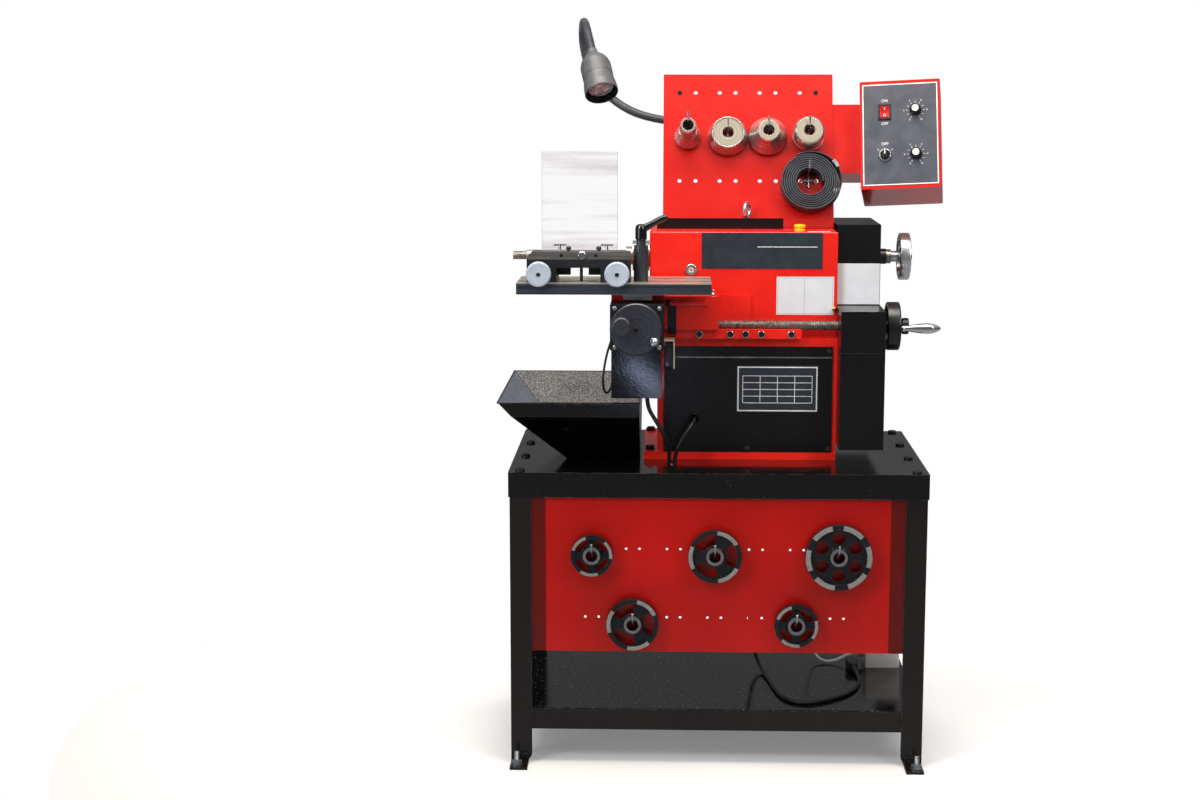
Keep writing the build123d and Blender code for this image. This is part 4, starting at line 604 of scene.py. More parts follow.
def screw_thread():
    """Screw thread about Z."""
    tree, given = nodes_for("screw_thread", {"Length": "Float", "Radius": "Float", "Depth": "Float",
                                             "Pitch": "Float"})
    top = add(tree, "ShaderNodeCombineXYZ", {2: given["Length"]})
    line = add(tree, "GeometryNodeCurvePrimitiveLine", {"End": top})
    share = add(tree, "ShaderNodeMath", {0: given["Length"], 1: given["Pitch"]}, operation="DIVIDE")
    steps = add(tree, "ShaderNodeMath", {0: share, 1: RINGS_A_TURN, 2: 1.0}, operation="MULTIPLY_ADD")
    dense = add(tree, "GeometryNodeResampleCurve", {"Curve": line, "Count": steps})
    section = add(tree, "GeometryNodeCurvePrimitiveCircle", {"Resolution": 24, "Radius": given["Radius"]})
    wall = add(tree, "GeometryNodeCurveToMesh", {"Curve": dense, "Profile Curve": section, "Fill Caps": True})
    here = add(tree, "GeometryNodeInputPosition")
    spot = add(tree, "ShaderNodeSeparateXYZ", {0: here}).outputs
    turn = add(tree, "ShaderNodeMath", {0: spot["Y"], 1: spot["X"]}, operation="ARCTAN2")
    way_round = add(tree, "ShaderNodeMath", {0: turn, 1: TURN}, operation="DIVIDE")
    climb = add(tree, "ShaderNodeMath", {0: spot["Z"], 1: given["Pitch"]}, operation="DIVIDE")
    both = add(tree, "ShaderNodeMath", {0: climb, 1: way_round}, operation="SUBTRACT")
    wave = add(tree, "ShaderNodeMath", {0: both, 1: 0.5}, operation="PINGPONG")
    cut = add(tree, "ShaderNodeMapRange", {"Value": wave, "From Min": 0.12, "From Max": 0.38,
                                           "To Min": 1.0, "To Max": 0.0})
    depth = add(tree, "ShaderNodeMath", {0: cut, 1: given["Depth"]}, operation="MULTIPLY")
    ratio = add(tree, "ShaderNodeMath", {0: depth, 1: given["Radius"]}, operation="DIVIDE")
    keep = add(tree, "ShaderNodeMath", {0: 1.0, 1: ratio}, operation="SUBTRACT")
    stretch = add(tree, "ShaderNodeCombineXYZ", {0: keep, 1: keep, 2: 1.0})
    place = add(tree, "ShaderNodeVectorMath", {0: here, 1: stretch}, operation="MULTIPLY")
    moved = add(tree, "GeometryNodeSetPosition", {"Geometry": wall, "Position": place})
    return closed(tree, moved, given)


def screw_heads():
    """Crowned screw heads with a socket on the points of a mesh, along Z."""
    tree, given = nodes_for("screw_heads", {"Radius": "Float", "Height": "Float", "Recess": "Float",
                                            "Sides": "Int"})
    head = add(tree, "GeometryNodeMeshCylinder", {"Vertices": given["Sides"], "Radius": given["Radius"],
                                                  "Depth": given["Height"]})
    crown = add(tree, "ShaderNodeMath", {0: given["Height"], 1: 0.3}, operation="MULTIPLY")
    sink = add(tree, "ShaderNodeMath", {0: given["Height"], 1: -0.7}, operation="MULTIPLY")
    inner = add(tree, "ShaderNodeMath", {0: given["Radius"], 1: 0.76}, operation="MULTIPLY")
    narrow = add(tree, "ShaderNodeMath", {0: given["Recess"], 1: inner}, operation="DIVIDE")
    made, top = head, head.outputs["Top"]
    for rise, scale in ((crown, 0.76), (0.0, narrow), (sink, 0.9)):
        raised = add(tree, "GeometryNodeExtrudeMesh", {"Mesh": made, "Selection": top, "Offset Scale": rise,
                                                      "Individual": False})
        top = raised.outputs["Top"]
        made = add(tree, "GeometryNodeScaleElements", {"Geometry": raised, "Selection": top, "Scale": scale})
    placed = add(tree, "GeometryNodeInstanceOnPoints", {"Points": given["Geometry"], "Instance": made})
    return closed(tree, placed, given)


def nothing():
    """Empty mesh for a tree that makes its own shape."""
    return bpy.data.meshes.new("nothing")


def route(points, radius=0.0):
    """Smooth open curve drawn by route points in millimetres."""
    curve = bpy.data.curves.new("route", "CURVE")
    curve.dimensions = "3D"
    spline = curve.splines.new("NURBS")
    spline.points.add(len(points) - 1)
    for point, place in zip(spline.points, points):
        point.co = (*(MILL @ Vector(place)), 1)
    spline.order_u = 3
    spline.use_endpoint_u = True
    curve.resolution_u = 10
    curve.bevel_depth = radius / 1000
    curve.bevel_resolution = 4
    curve.use_fill_caps = True
    return curve


def laid_cord(name, finish, points, radius):
    """Cord as a mesh tube, the points that it follows and its length in metres."""
    line = meshed(route(points))
    path = [v.co.copy() for v in line.vertices]
    bpy.data.meshes.remove(line)
    mesh = meshed(route(points, radius))
    for face in mesh.polygons:
        face.use_smooth = True
    mesh.materials.clear()
    mesh.materials.append(bpy.data.materials[finish])
    mesh.name = name
    return shown(name, mesh), path, sum((b - a).length for a, b in zip(path, path[1:]))


NECK = ((-100, 149.5, 1384.2), (-152, 159, 1391), (-214, 176, 1414), (-268, 196, 1458), (-298, 207, 1508),
        (-310, 208, 1566), (-306, 158, 1614), (-296.0, 87.6, 1597.8), (-281, 44, 1540))
FEED_CORD = ((-153, -235, 812), (-153, -235, 786), (-134, -234, 755), (-114, -222, 719), (-104, -188, 686),
             (-105.5, -159, 650), (-106, -154, 604))
SENSOR_CORD = ((-226, -180, 960), (-226, -180, 936), (-240, -184, 898), (-249, -190, 850), (-249, -186, 815),
               (-240, -160, 800), (-228, -138, 822), (-224, -126, 872), (-222, -122, 916), (-222, -122, 960))
PANEL_CORD = ((-50, -113, 741), (-50, -144, 741), (-65, -163, 722), (-81, -166, 696), (-91, -161, 670),
              (-94.5, -157, 640), (-95, -154, 606))
CONTROL_CORD = ((341, 100, 149), (320, 100, 149), (290, 90, 132.7), (256, 92, 128.7), (236, 118, 144.7),
                (228, 136, 190.7), (222, 152, 248.7), (216, 172, 308.7), (205, 196, 360.7), (194, 214, 416.7),
                (188, 226, 474.7), (180, 236, 530.7), (174, 242, 582), (174, 242, 644))
MAINS_LEAD = ((70, 170, 644), (70, 170, 537.2), (74, 160, 439.2), (78, 142, 339.2), (84, 116, 249.2),
              (92, 76, 169.2), (110, 24, 131.2), (124, -50, 129.2), (134, -130, 129.2), (150, -200, 129.2),
              (190, -236, 129.2), (250, -206, 129.2), (306, -146, 129.2), (331, -66, 129.2),
              (329, -10, 132.2), (324, 22, 137.2))

# CAD nodes that stay in sight, with the finish of each
CAD_FINISHES = {
    "black_gloss_enamel": ("bench_top",),
    "black_frame_enamel": ("bench_frame", "anchor_feet"),
    "red_panel_enamel": ("bench_panel",),
    "grey_oxide_post": ("clamp_post",),
    "speckled_shelf_coat": ("bench_shelf",),
    "red_gloss_enamel": ("tool_board", "control_box"),
    "zinc_plated_steel": ("tool_hooks", "lifting_eye"),
    "dark_screw_steel": ("cover_screws",),
    "red_casting_enamel": ("headstock_casting", "saddle", "gib_strip"),
    "satin_black_sheet": ("upper_belt_cover", "lower_belt_cover", "board_bracket", "front_panel"),
    "wrinkled_black_coat": ("feed_gearbox", "limit_switch"),
    "bright_turned_steel": ("spindle", "spindle_bearings"),
    "grey_hammer_paint": ("main_motor",),
    "black_oxide_iron": ("spindle_pulley", "motor_pulley", "twin_cutter", "carriage_screws",
                         "tool_holder_left", "tool_holder_right"),
    "black_cord_rubber": ("drive_belt",),
    "ground_table_steel": ("t_slot_table",),
    "white_case_plastic": ("power_box",),
}

# Softboxes: place, aim, size, power, spread and roll in degrees, colour, and whether gloss mirrors them
LIGHTS = {
    "top_softbox": ((-0.1, -0.6, 3.2), (0.0, -0.1, 1.0), (2.6, 1.2), 42, 120, 0, "FFF4E8", True),
    "key_softbox": ((-1.9, -2.3, 2.9), (-0.05, -0.05, 1.3), (1.0, 1.4), 7.5, 60, 0, "FFFDFA", True),
    "fill_softbox": ((1.9, -2.3, 2.6), (0.1, 0.0, 1.3), (0.8, 1.4), 4, 56, 0, "FFFFFF", True),
    "side_softbox": ((-2.2, -2.0, 1.15), (-0.15, -0.25, 0.95), (0.6, 1.1), 1.6, 50, 0, "DCE6FF", True),
    "window_softbox": ((-0.19, -2.6, 0.50), (-0.17, -0.28, 0.86), (0.035, 0.22), 0.0009, 10, 42, "C9D6FF",
                       True),
    "back_softbox": ((0.4, 2.6, 2.6), (0.0, 0.0, 0.6), (2.4, 1.2), 50, 150, 0, "FFFFFF", False),
}
# Room that the gloss mirrors, from the floor to overhead
ROOM_SHEEN = ((0.0, "B4B2B0"), (0.28, "A6A4A2"), (0.40, "6C6A68"), (0.47, "706E6C"), (0.56, "5E6064"),
              (0.70, "74767A"), (0.90, "C8C8C8"))
WHITE = (1.0, 1.0, 1.0, 1.0)


class LatheSizes(bpy.types.PropertyGroup):
    """Sizes that a user would change, in millimetres unless said."""

    neck_ribs: bpy.props.IntProperty(
        name="Gooseneck ribs", description="Ribs along the lamp's gooseneck", default=150, min=10)
    neck_crest: bpy.props.FloatProperty(
        name="Gooseneck crest", description="Radius over the gooseneck's ribs", default=9.5)
    neck_root: bpy.props.FloatProperty(
        name="Gooseneck root", description="Radius between the gooseneck's ribs", default=7.9)
    roll_turns: bpy.props.IntProperty(
        name="Belt turns", description="Turns of the rolled silencer belt", default=7, min=2)
    lens: bpy.props.FloatProperty(
        name="Lens", description="Camera lens", default=60.5, subtype="DISTANCE_CAMERA")
    camera_place: bpy.props.FloatVectorProperty(
        name="Camera", description="Camera's place", default=(-0.1248, -4.4924, 1.4717), subtype="XYZ",
        unit="LENGTH")
    camera_turn: bpy.props.FloatVectorProperty(
        name="Camera turn", description="Camera's turn about X, Y and Z",
        default=(math.radians(81.06), 0.0, math.radians(2.0)), subtype="EULER", unit="ROTATION")


class LatheColours(bpy.types.PropertyGroup):
    """Colours that a user would change, as sRGB hex values."""

    red: bpy.props.StringProperty(
        name="Red", description="Enamel of the casting, panel, board and box", default="CA1409")
    red_cast: bpy.props.StringProperty(
        name="Casting red", description="Brighter enamel of the casting", default="F0281A")
    red_shade: bpy.props.StringProperty(
        name="Red shade", description="Darker clouds in the red enamel", default="BE1007")
    black: bpy.props.StringProperty(name="Black", description="Enamel of the bench", default="0A0A0B")
    slate: bpy.props.StringProperty(name="Slate", description="Ground of the plates", default="2E343D")
    steel: bpy.props.StringProperty(name="Steel", description="Bright steel", default="C9C6BE")


class LATHE_OT_finishes(bpy.types.Operator):
    """Makes the materials and gives each CAD node that stays in sight its own"""

    bl_idname = "lathe.finishes"
    bl_label = "Finishes"

    def execute(self, context):
        hues = context.scene.lathe_colours
        self.coats(hues)
        self.metals(hues)
        self.plastics(hues)
        for finish, names in CAD_FINISHES.items():
            for name in names:
                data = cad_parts[name].data
                data.materials.clear()
                data.materials.append(bpy.data.materials[finish])
        return {"FINISHED"}

    def coats(self, hues):
        """Enamels, powder coats and paints."""
        # Sprayed gloss enamel on sheet: wet-looking, with orange peel and edges rubbed darker
        enamel("red_gloss_enamel", hues.red, hues.red_shade, (0.20, 0.26), 3.0, 0.012, "6A1512", 0.35,
               coat=0.25)
        # The bench panel is the same, but its sides are given painted shade: a darker red that stands for
        # folds facing away from the light
        panel = enamel("red_panel_enamel", hues.red_shade, "A90E06", (0.16, 0.22), 3.0, 0.02, "6A1512", 0.35,
                       coat=0.05)
        margins(*panel, 0.368, "5E0A05")
        # Brushed and filled enamel on a casting: softer gloss over a lumpy skin
        enamel("red_casting_enamel", hues.red_cast, "E01C10", (0.24, 0.34), 6.0, 0.05, "7A1812", 0.4,
               coat=0.2)
        # Gloss enamel on folded plate: near mirror, with pale rubbed edges and fine scratches
        bench = enamel("black_gloss_enamel", hues.black, "070708", (0.10, 0.20), 4.0, 0.02, "8E8580", 0.6,
                       coat=0.4)
        scratched(*bench)
        # Thinner gloss on the frame's angle iron, its black tinted brown: painted reflection of a warm floor
        enamel("black_frame_enamel", "1B1513", "120E0D", (0.14, 0.24), 4.0, 0.03, "8E8580", 0.5, coat=0.3)
        # Satin powder coat on thin sheet: broad soft highlights
        enamel("satin_black_sheet", "0C0C0E", "0A0A0C", (0.20, 0.28), 1.6, 0.02, "4A4A4D", 0.4)
        # Powder coats with a fine wrinkle, which scatters small highlights
        enamel("wrinkled_black_coat", "15161A", "101115", (0.24, 0.34), 2.2, 0.12, "55565A", 0.4)
        enamel("wrinkled_gloss_coat", "0C0D12", "090A0E", (0.06, 0.10), 4.0, 0.10, "55565A", 0.4)
        # Grainy coat of the hopper's inside and of the shelf: pale grains in dark enamel
        flecked("speckled_hopper_coat", "3C3D3F", "BDBDB8", (0.25, 0.45), 1.8, 0.42)
        flecked("speckled_shelf_coat", "0C0D0E", "8C8E90", (0.07, 0.16), 3.0, 0.04)
        # The hopper's left slope is smooth, and its light bluish grey is painted reflection of the bright
        # room above
        enamel("hopper_coat_painted_sky", "6B7486", "596170", (0.18, 0.28), 4.0, 0.02, "8A8A8C", 0.4)
        # Dipped black enamel over rough castings of the adapters
        enamel("black_adapter_enamel", "1B1D21", "131519", (0.14, 0.26), 2.6, 0.05, "6A6C70", 0.6)
        # Matt stove enamel of the lamp head
        enamel("grey_lamp_enamel", "56595B", "4E5153", (0.36, 0.46), 1.6, 0.02, "7A7C7C", 0.3)
        # Sprayed hammer paint of the hidden motor
        enamel("grey_hammer_paint", "6C7073", "5C6063", (0.3, 0.45), 6.0, 0.2, "3A3C3E", 0.3)

    def metals(self, hues):
        """Bare, plated and blackened metals."""
        # Lathe-turned steel and aluminium: fine rings round the axis, drawn coarse enough to show
        metal("bright_turned_steel", hues.steel, "8E8A83", (0.20, 0.36), EVEN, 40, 0.01)
        turned_metal("turned_cone_steel", "D2CFCB", "B2AFAB", (0.24, 0.30), 9.0, 0.95)
        turned_metal("turned_face_steel", "BFB7A4", "8F8877", (0.32, 0.40), 7.0, 0.85)
        turned_metal("turned_aluminium", "DCDDDF", "BCBDC0", (0.20, 0.30), 7.0, 0.9)
        # Ground bars: fine even streaks; worn lands and hub faces dulled by handling
        metal("ground_bar_steel", "A3A19D", "7C7A77", (0.20, 0.32), (0.05, 1.0, 1.0), 5, 0.004, metallic=0.8)
        metal("worn_land_iron", "A8A6A2", "868480", (0.42, 0.58), EVEN, 4, 0.02, metallic=0.4)
        metal("dull_hub_iron", "85868A", "66676B", (0.40, 0.55), EVEN, 5, 0.02, metallic=0.5)
        # Surface-ground steel: streaks along the table, whose front face is darker and bluish
        metal("ground_table_steel", "CFC9BE", "9A958C", (0.22, 0.38), LENGTHWAYS, 3.0, 0.01, metallic=0.6)
        metal("dark_bluish_front_steel", "5B616C", "40454E", (0.28, 0.44), LENGTHWAYS, 4.0, 0.01, metallic=0.8)
        # Bright zinc plate: slightly blue and cloudy
        metal("zinc_plated_steel", "CDD1D4", "9CA1A5", (0.22, 0.40), EVEN, 12, 0.02)
        # Polished chrome plate: mirror with a breath of haze
        metal("polished_chrome", "E4E4E6", "CACBCE", (0.05, 0.12), EVEN, 30, 0.002)
        # Black oxide on iron and steel: dark metal with a dull sheen
        metal("black_oxide_iron", "2B2D31", "1F2124", (0.28, 0.42), EVEN, 6, 0.02, metallic=0.3)
        metal("grey_oxide_post", "43474D", "35383D", (0.30, 0.42), (1.0, 1.0, 0.2), 6, 0.01, metallic=0.4)
        turned_metal("black_turned_disc", "4C4E56", "3C3E45", (0.24, 0.32), 6.0, 0.6, drawn=0.5)
        # Screws darkened by oil, and a brass nipple
        metal("dark_screw_steel", "7C7873", "47443F", (0.24, 0.40), EVEN, 8, 0.02)
        metal("oiled_screw_steel", "8F8B84", "57534D", (0.20, 0.34), EVEN, 9, 0.01, metallic=0.6)
        metal("brass_fitting", "C79A4C", "97702C", (0.20, 0.34), EVEN, 8, 0.02)

    def plastics(self, hues):
        """Plastics, inks, films, rubber and clear pieces."""
        # Steel hose under a thin satin sleeve, which shows each rib as a light line
        moulded("dark_hose_sleeve", "565B61", "484C52", (0.30, 0.42), 3, 0.01)
        # Moulded plastics: fine spark-eroded grain
        moulded("black_nylon", "121214", "0C0C0E", (0.30, 0.44), 1.5, 0.03)
        moulded("satin_black_phenolic", "15161A", "0F1013", (0.26, 0.36), 6, 0.02)
        moulded("gloss_black_phenolic", "0B0B0D", "070708", (0.12, 0.22), 10, 0.02, Coat_Weight=0.3)
        # The red plastic glows faintly of its own: painted light that brightens the rocker and the sight
        # glass's red dot
        moulded("red_plastic_painted_glow", "C4170C", "A8120A", (0.20, 0.30), 4, 0.01,
                Emission_Color=linear("C4170C"), Emission_Strength=0.08)
        moulded("white_case_plastic", "E4E3DE", "D6D5D0", (0.36, 0.5), 2, 0.02)
        moulded("yellow_cap_plastic", "FFC81E", "F2B814", (0.3, 0.42), 3, 0.02)
        # Smooth light enamels of small pieces, printed inks and films: even, with little grain
        moulded("white_dial_enamel", "B9C4CF", "ABB6C1", (0.22, 0.34), 9, 0.006)
        moulded("cream_bracket_enamel", "E6E2D4", "D2CDBD", (0.3, 0.45), 4, 0.02)
        moulded("white_ink", "EFEFEC", "E2E2DE", (0.45, 0.6), 3, 0.005)
        moulded("grey_ink", "9A9DA2", "8C8F94", (0.45, 0.6), 3, 0.005)
        moulded("slate_plate_film", hues.slate, "262B33", (0.28, 0.40), 4, 0.006)
        moulded("grey_face_film", "4A4E57", "42464F", (0.28, 0.40), 4, 0.006)
        moulded("paper_label_film", "DCDFE3", "D4D7DB", (0.38, 0.5), 20, 0.006)
        # Extruded rubber: dull, with a dusty bloom
        moulded("black_cord_rubber", "17181B", "101113", (0.38, 0.54), 4, 0.03)
        moulded("slate_belt_rubber", "343A42", "23272D", (0.40, 0.56), 6, 0.05)
        # Cast acrylic and glass: clear, with faint smears and bright edges
        clear("clear_acrylic_sheet", "BFB4BE", (0.06, 0.5), 0.8)
        clear("sight_glass_lens", "E8E6DE", (0.15, 0.3), 0.3)
        clear("lamp_lens_glass", "DDE4EA", (0.15, 0.3), 0.3)


class LATHE_OT_stage(bpy.types.Operator):
    """Floor, soft studio light and the camera at the photograph's angle"""

    bl_idname = "lathe.stage"
    bl_label = "Stage"

    def execute(self, context):
        scene = context.scene
        sizes = scene.lathe_sizes
        lens = bpy.data.cameras.new("camera")
        lens.lens = sizes.lens
        lens.sensor_width = 36.0
        camera = shown("camera", lens)
        camera.location = sizes.camera_place
        camera.rotation_euler = sizes.camera_turn
        scene.camera = camera
        self.floor()
        for name, row in LIGHTS.items():
            self.softbox(name, *row)
        scene.world = self.air()
        scene.view_settings.view_transform = "Standard"
        return {"FINISHED"}

    def floor(self):
        """Matt white studio paper."""
        tree, shader, place = blank("studio_paper", Roughness=0.9, Emission_Color=WHITE,
                                    Emission_Strength=0.2)
        cloud = add(tree, "ShaderNodeTexNoise", {"Vector": place, "Scale": per_mm(900), "Detail": 2.0})
        tinted(tree, shader, cloud, "E6E6E6", "EAEAEA")
        paper = bpy.data.meshes.new("studio_floor")
        rim = [(*polar(FLOOR_REACH, math.radians(turn)), 0.0) for turn in range(0, 360, 5)]
        paper.from_pydata(rim, [], [range(len(rim))])
        paper.materials.append(bpy.data.materials["studio_paper"])
        floor = shown("studio_floor", paper)
        floor.visible_glossy = False

    def softbox(self, name, spot, aim, size, power, spread, roll, tint, mirrored):
        """Area light that the camera doesn't see."""
        light = bpy.data.lights.new(name, "AREA")
        light.shape = "RECTANGLE"
        light.size, light.size_y = size
        light.energy = power
        light.spread = math.radians(spread)
        light.color = linear(tint)[:3]
        lamp = shown(name, light)
        lamp.visible_camera = False
        lamp.visible_glossy = mirrored
        lamp.location = spot
        turn = (Vector(aim) - Vector(spot)).to_track_quat("-Z", "Y")
        lamp.rotation_euler = (turn @ Quaternion((0, 0, 1), math.radians(roll))).to_euler()

    def air(self):
        """White all round for the eye, while the gloss sees a dim room that is brighter overhead."""
        world = bpy.data.worlds.new("studio_air")
        world.use_nodes = True
        room = world.node_tree
        room.nodes.clear()
        place = add(room, "ShaderNodeTexCoord").outputs["Generated"]
        rise = add(room, "ShaderNodeSeparateXYZ", {0: place}).outputs["Z"]
        dim = add(room, "ShaderNodeMapRange", {"Value": rise, "From Min": 0.0, "From Max": 0.8,
                                               "To Min": 0.03, "To Max": 0.30})
        turn = add(room, "ShaderNodeMapRange", {"Value": rise, "From Min": -1.0, "From Max": 1.0})
        sheen = add(room, "ShaderNodeValToRGB", {"Fac": turn}, ramp=ROOM_SHEEN)
        ray = add(room, "ShaderNodeLightPath").outputs
        level = add(room, "ShaderNodeMix", {0: ray["Is Glossy Ray"], 2: dim, 3: sheen})
        level = add(room, "ShaderNodeMix", {0: ray["Is Camera Ray"], 2: level, 3: 1.0})
        air = add(room, "ShaderNodeBackground", {"Color": WHITE, "Strength": level})
        add(room, "ShaderNodeOutputWorld", {"Surface": air})
        return world


class LATHE_OT_cords(bpy.types.Operator):
    """The five cords, their sleeves and the plug"""

    bl_idname = "lathe.cords"
    bl_label = "Cords"

    def execute(self, context):
        feed = self.cord("feed_cable", None, "feed_cables", FEED_CORD, 4.5)
        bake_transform(feed)
        self.cord("sensor_cable", "carriage", "feed_cables", SENSOR_CORD, 2.5, stiffness="limp",
                  lay="hanging")
        self.cord("panel_cable_run", "stand", "panel_cable", PANEL_CORD, 4.5)
        self.cord("white_control_cable", "stand", "control_cable", CONTROL_CORD, 3.5,
                  finish="white_case_plastic", slot="white_plastic")
        self.cord("mains_lead_run", "stand", "mains_lead", MAINS_LEAD, 4.0, plugged=True)
        sleeve = Form("black_cord_rubber")
        for x, y, z in (MAINS_LEAD[0], CONTROL_CORD[-1]):
            sleeve.lathe([(0, 0), (0, 10), (-3, 10), (-4, 7.5), (-40, 5.2), (-40, 0)], 0,
                         upward(x, y, z - 0.4), 20, soft=0.5)
        sleeve.done("bench_sleeves", "stand", "rubber")
        return {"FINISHED"}

    def cord(self, name, body, node, points, radius, finish="black_cord_rubber", slot="rubber",
             plugged=False, **ways):
        """Cord along its route in the place of its CAD node, which it hides."""
        piece, path, long = laid_cord(name, finish, points, radius)
        if body:
            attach(piece, body)
        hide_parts(node)
        far = {"far_end": "plug", "with_pieces": [self.plug()]} if plugged else {"far_end": "object"}
        return piece

    def plug(self):
        """Moulded plug with its bend sleeve at the end of the mains lead."""
        form = Form("black_cord_rubber")
        back, mid, nose = (((308, 336), 64, (125.4, 150.6)), ((308, 336), 40, (125.4, 150.6)),
                           ((315, 333), 20, (129, 146)))
        form.hull([[(x, y, z) for x, z in oblong(wide, high)] for wide, y, high in (back, mid, nose)], edge=3)
        before, end = (Vector(spot) for spot in MAINS_LEAD[-2:])
        form.lathe([(-2, 0), (-2, 7.5), (6, 7.2), (40, 4.8), (40, 0)], 0,
                   framed(end, (1, 0, 0.2), before - end), 20)
        return form.done("mains_plug", "stand", "rubber")


class LATHE_OT_lamp(bpy.types.Operator):
    """Gooseneck with its ribs, lamp head, lens and lights"""

    bl_idname = "lathe.lamp"
    bl_label = "Work lamp"

    def execute(self, context):
        place = framed(NECK[-1], LAMP_AIM.orthogonal(), LAMP_AIM)
        self.neck(context.scene.lathe_sizes)
        self.head(place)
        self.lights(place)
        return {"FINISHED"}

    def neck(self, sizes):
        """Ribbed hose that bends from its foot behind the board to the lamp head."""
        form = Form("dark_hose_sleeve", "black_nylon")
        hose = grown(ribbed_hose, route(NECK), form.finishes[0], Ribs=sizes.neck_ribs,
                     Crest=sizes.neck_crest / 1000, Root=sizes.neck_root / 1000)
        form.take(hose, 0, Matrix.Identity(4))
        form.lathe([(-3, 0), (-3, 13), (-36, 13), (-40, 10), (-40, 0)], 1, on_board(-100, 258), 32, soft=1.0)
        neck = form.done("gooseneck", None, "black_plastic", "lamp_arm")
        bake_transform(neck)

    def head(self, place):
        """Shade with its cooling ribs and its dark inside."""
        form = Form("grey_lamp_enamel", "gloss_black_phenolic")
        form.lathe([(-4, 0), (-4, 11), (8, 13), (13, 17.5), (26, 28.5), (34, 32), (40, 33), (74, 33.4),
                    (82, 34), (98, 36.4), (114, 37.4), (116.4, 36.8), (116.4, 35.4), (112, 34.2), (97, 30.5),
                    (96, 29.8), (96, 0)], 0, place, 72, soft=0.8)
        form.bars(36, 33.0, (2.4, 3.4, 30.0), 57.0, 0, place)
        form.lathe(round_bar(97, 99, 30), 1, place, 40)
        form.lathe([(115.8, 35.5), (116.1, 34.9), (98, 30.0), (97.6, 30.6)], 1, place, 64, ring=True)
        form.done("lamp_shade", "lamp", "grey_lamp", "lamp_head")

    def lights(self, place):
        """Three lights in bright cups behind a clear lens."""
        form = Form("white_ink", "lamp_lens_glass", "polished_chrome")
        reach, depth = 13, 99
        for turn in (90, 210, 330):
            spot = place @ Matrix.Translation((*polar(reach, math.radians(turn)), depth))
            form.lathe([(0, 0), (0, 10.5), (2.4, 10.5), (2.4, 9.4), (0.8, 6), (0.8, 0)], 2, spot, 28)
            form.lathe([(0.9, 0), (0.9, 5.6), (2.0, 4.6), (2.6, 2.6), (2.7, 0)], 0, spot, 20)
        form.lathe(round_bar(102.2, 103.0, 28), 1, place, 40)
        form.done("lamp_lights", "lamp", "lens_glass", "lamp_lens")


# Hopper: height of each fold, and its ends along X and Y there
HOPPER_LEVELS = (
    (648, (-332, -169), (-105, 60)),
    (763, (-445, -169), (-240, 206)),
    (794, (-475, -169), (-240, 245)),
)
HOPPER_WALL = 2


class LATHE_OT_hopper(bpy.types.Operator):
    """Folded chip hopper with a dark outside and a speckled inside"""

    bl_idname = "lathe.hopper"
    bl_label = "Chip hopper"

    def execute(self, context):
        outside, speckled, smooth = range(3)
        shell = bmesh.new()
        outer = [self.ring(shell, z, x, y, 0) for z, x, y in HOPPER_LEVELS]
        (low, x, y), *rest = HOPPER_LEVELS
        levels = [(low + HOPPER_WALL, x, y)] + rest
        inner = [self.ring(shell, z, x, y, HOPPER_WALL) for z, x, y in levels]
        for loops, finish in ((outer, outside), (inner, speckled)):
            for walls in walled(shell, loops):
                for wall in walls:
                    wall.material_index = finish
                # The left inner slope takes the smooth bluish coat, a painted reflection of the bright room
                if finish == speckled:
                    walls[-1].material_index = smooth
            shell.faces.new(loops[0]).material_index = finish
        walled(shell, (outer[-1], inner[-1]))
        bmesh.ops.recalc_face_normals(shell, faces=shell.faces[:])
        for face in shell.faces:
            face.smooth = True
        rounded(shell, 0.7)
        hopper = Form("black_gloss_enamel", "speckled_hopper_coat", "hopper_coat_painted_sky")
        hopper.put(shell, MILL)
        top, x, y = HOPPER_LEVELS[-1]
        rim = [(u, v, top - 1) for u, v in oblong((x[0] + 1, x[1] - 1), (y[0] + 1, y[1] - 1))]
        for k in range(4):
            hopper.tube([rim[k], rim[(k + 1) % 4]], 2.2, outside)
        hopper.done("chip_funnel", "stand", "grey_speckle", "chip_hopper")
        return {"FINISHED"}

    def ring(self, shell, z, x, y, wall):
        """Corners of the hopper at a height, moved in by the wall."""
        corners = oblong((x[0] + wall, x[1] - wall), (y[0] + wall, y[1] - wall))
        return [shell.verts.new((u, v, z)) for u, v in corners]


# Adapters: place along the panel and up it, diameter, spokes, holes, middle of the first spoke or hole in
# degrees, and middles of the ground lands
ADAPTERS = (
    (-270, 470.9, 90, 4, 0, 0, (135, 20, 262)),
    (-6, 470.9, 115, 3, 0, 62, (58, 182, 305)),
    (258, 470.9, 143, 0, 6, 30, (123, 62, 185, 2, 243, 308)),
    (-182, 319.9, 113, 3, 0, 60, (52, 172, 285)),
    (170, 319.9, 94, 4, 0, 0, (132, 350, 252)),
)
ADAPTER_BACK = -274
# Half the angle of a spoke, by the number of spokes
SPOKE_HALF = {3: 26, 4: 18}
# Width of the lands on the rims, as a share of the radius
LAND_SHARE = 0.155
# Round holes of the largest adapter: radius, and reach from the middle
HOLE_R, HOLE_REACH = 13.6, 41


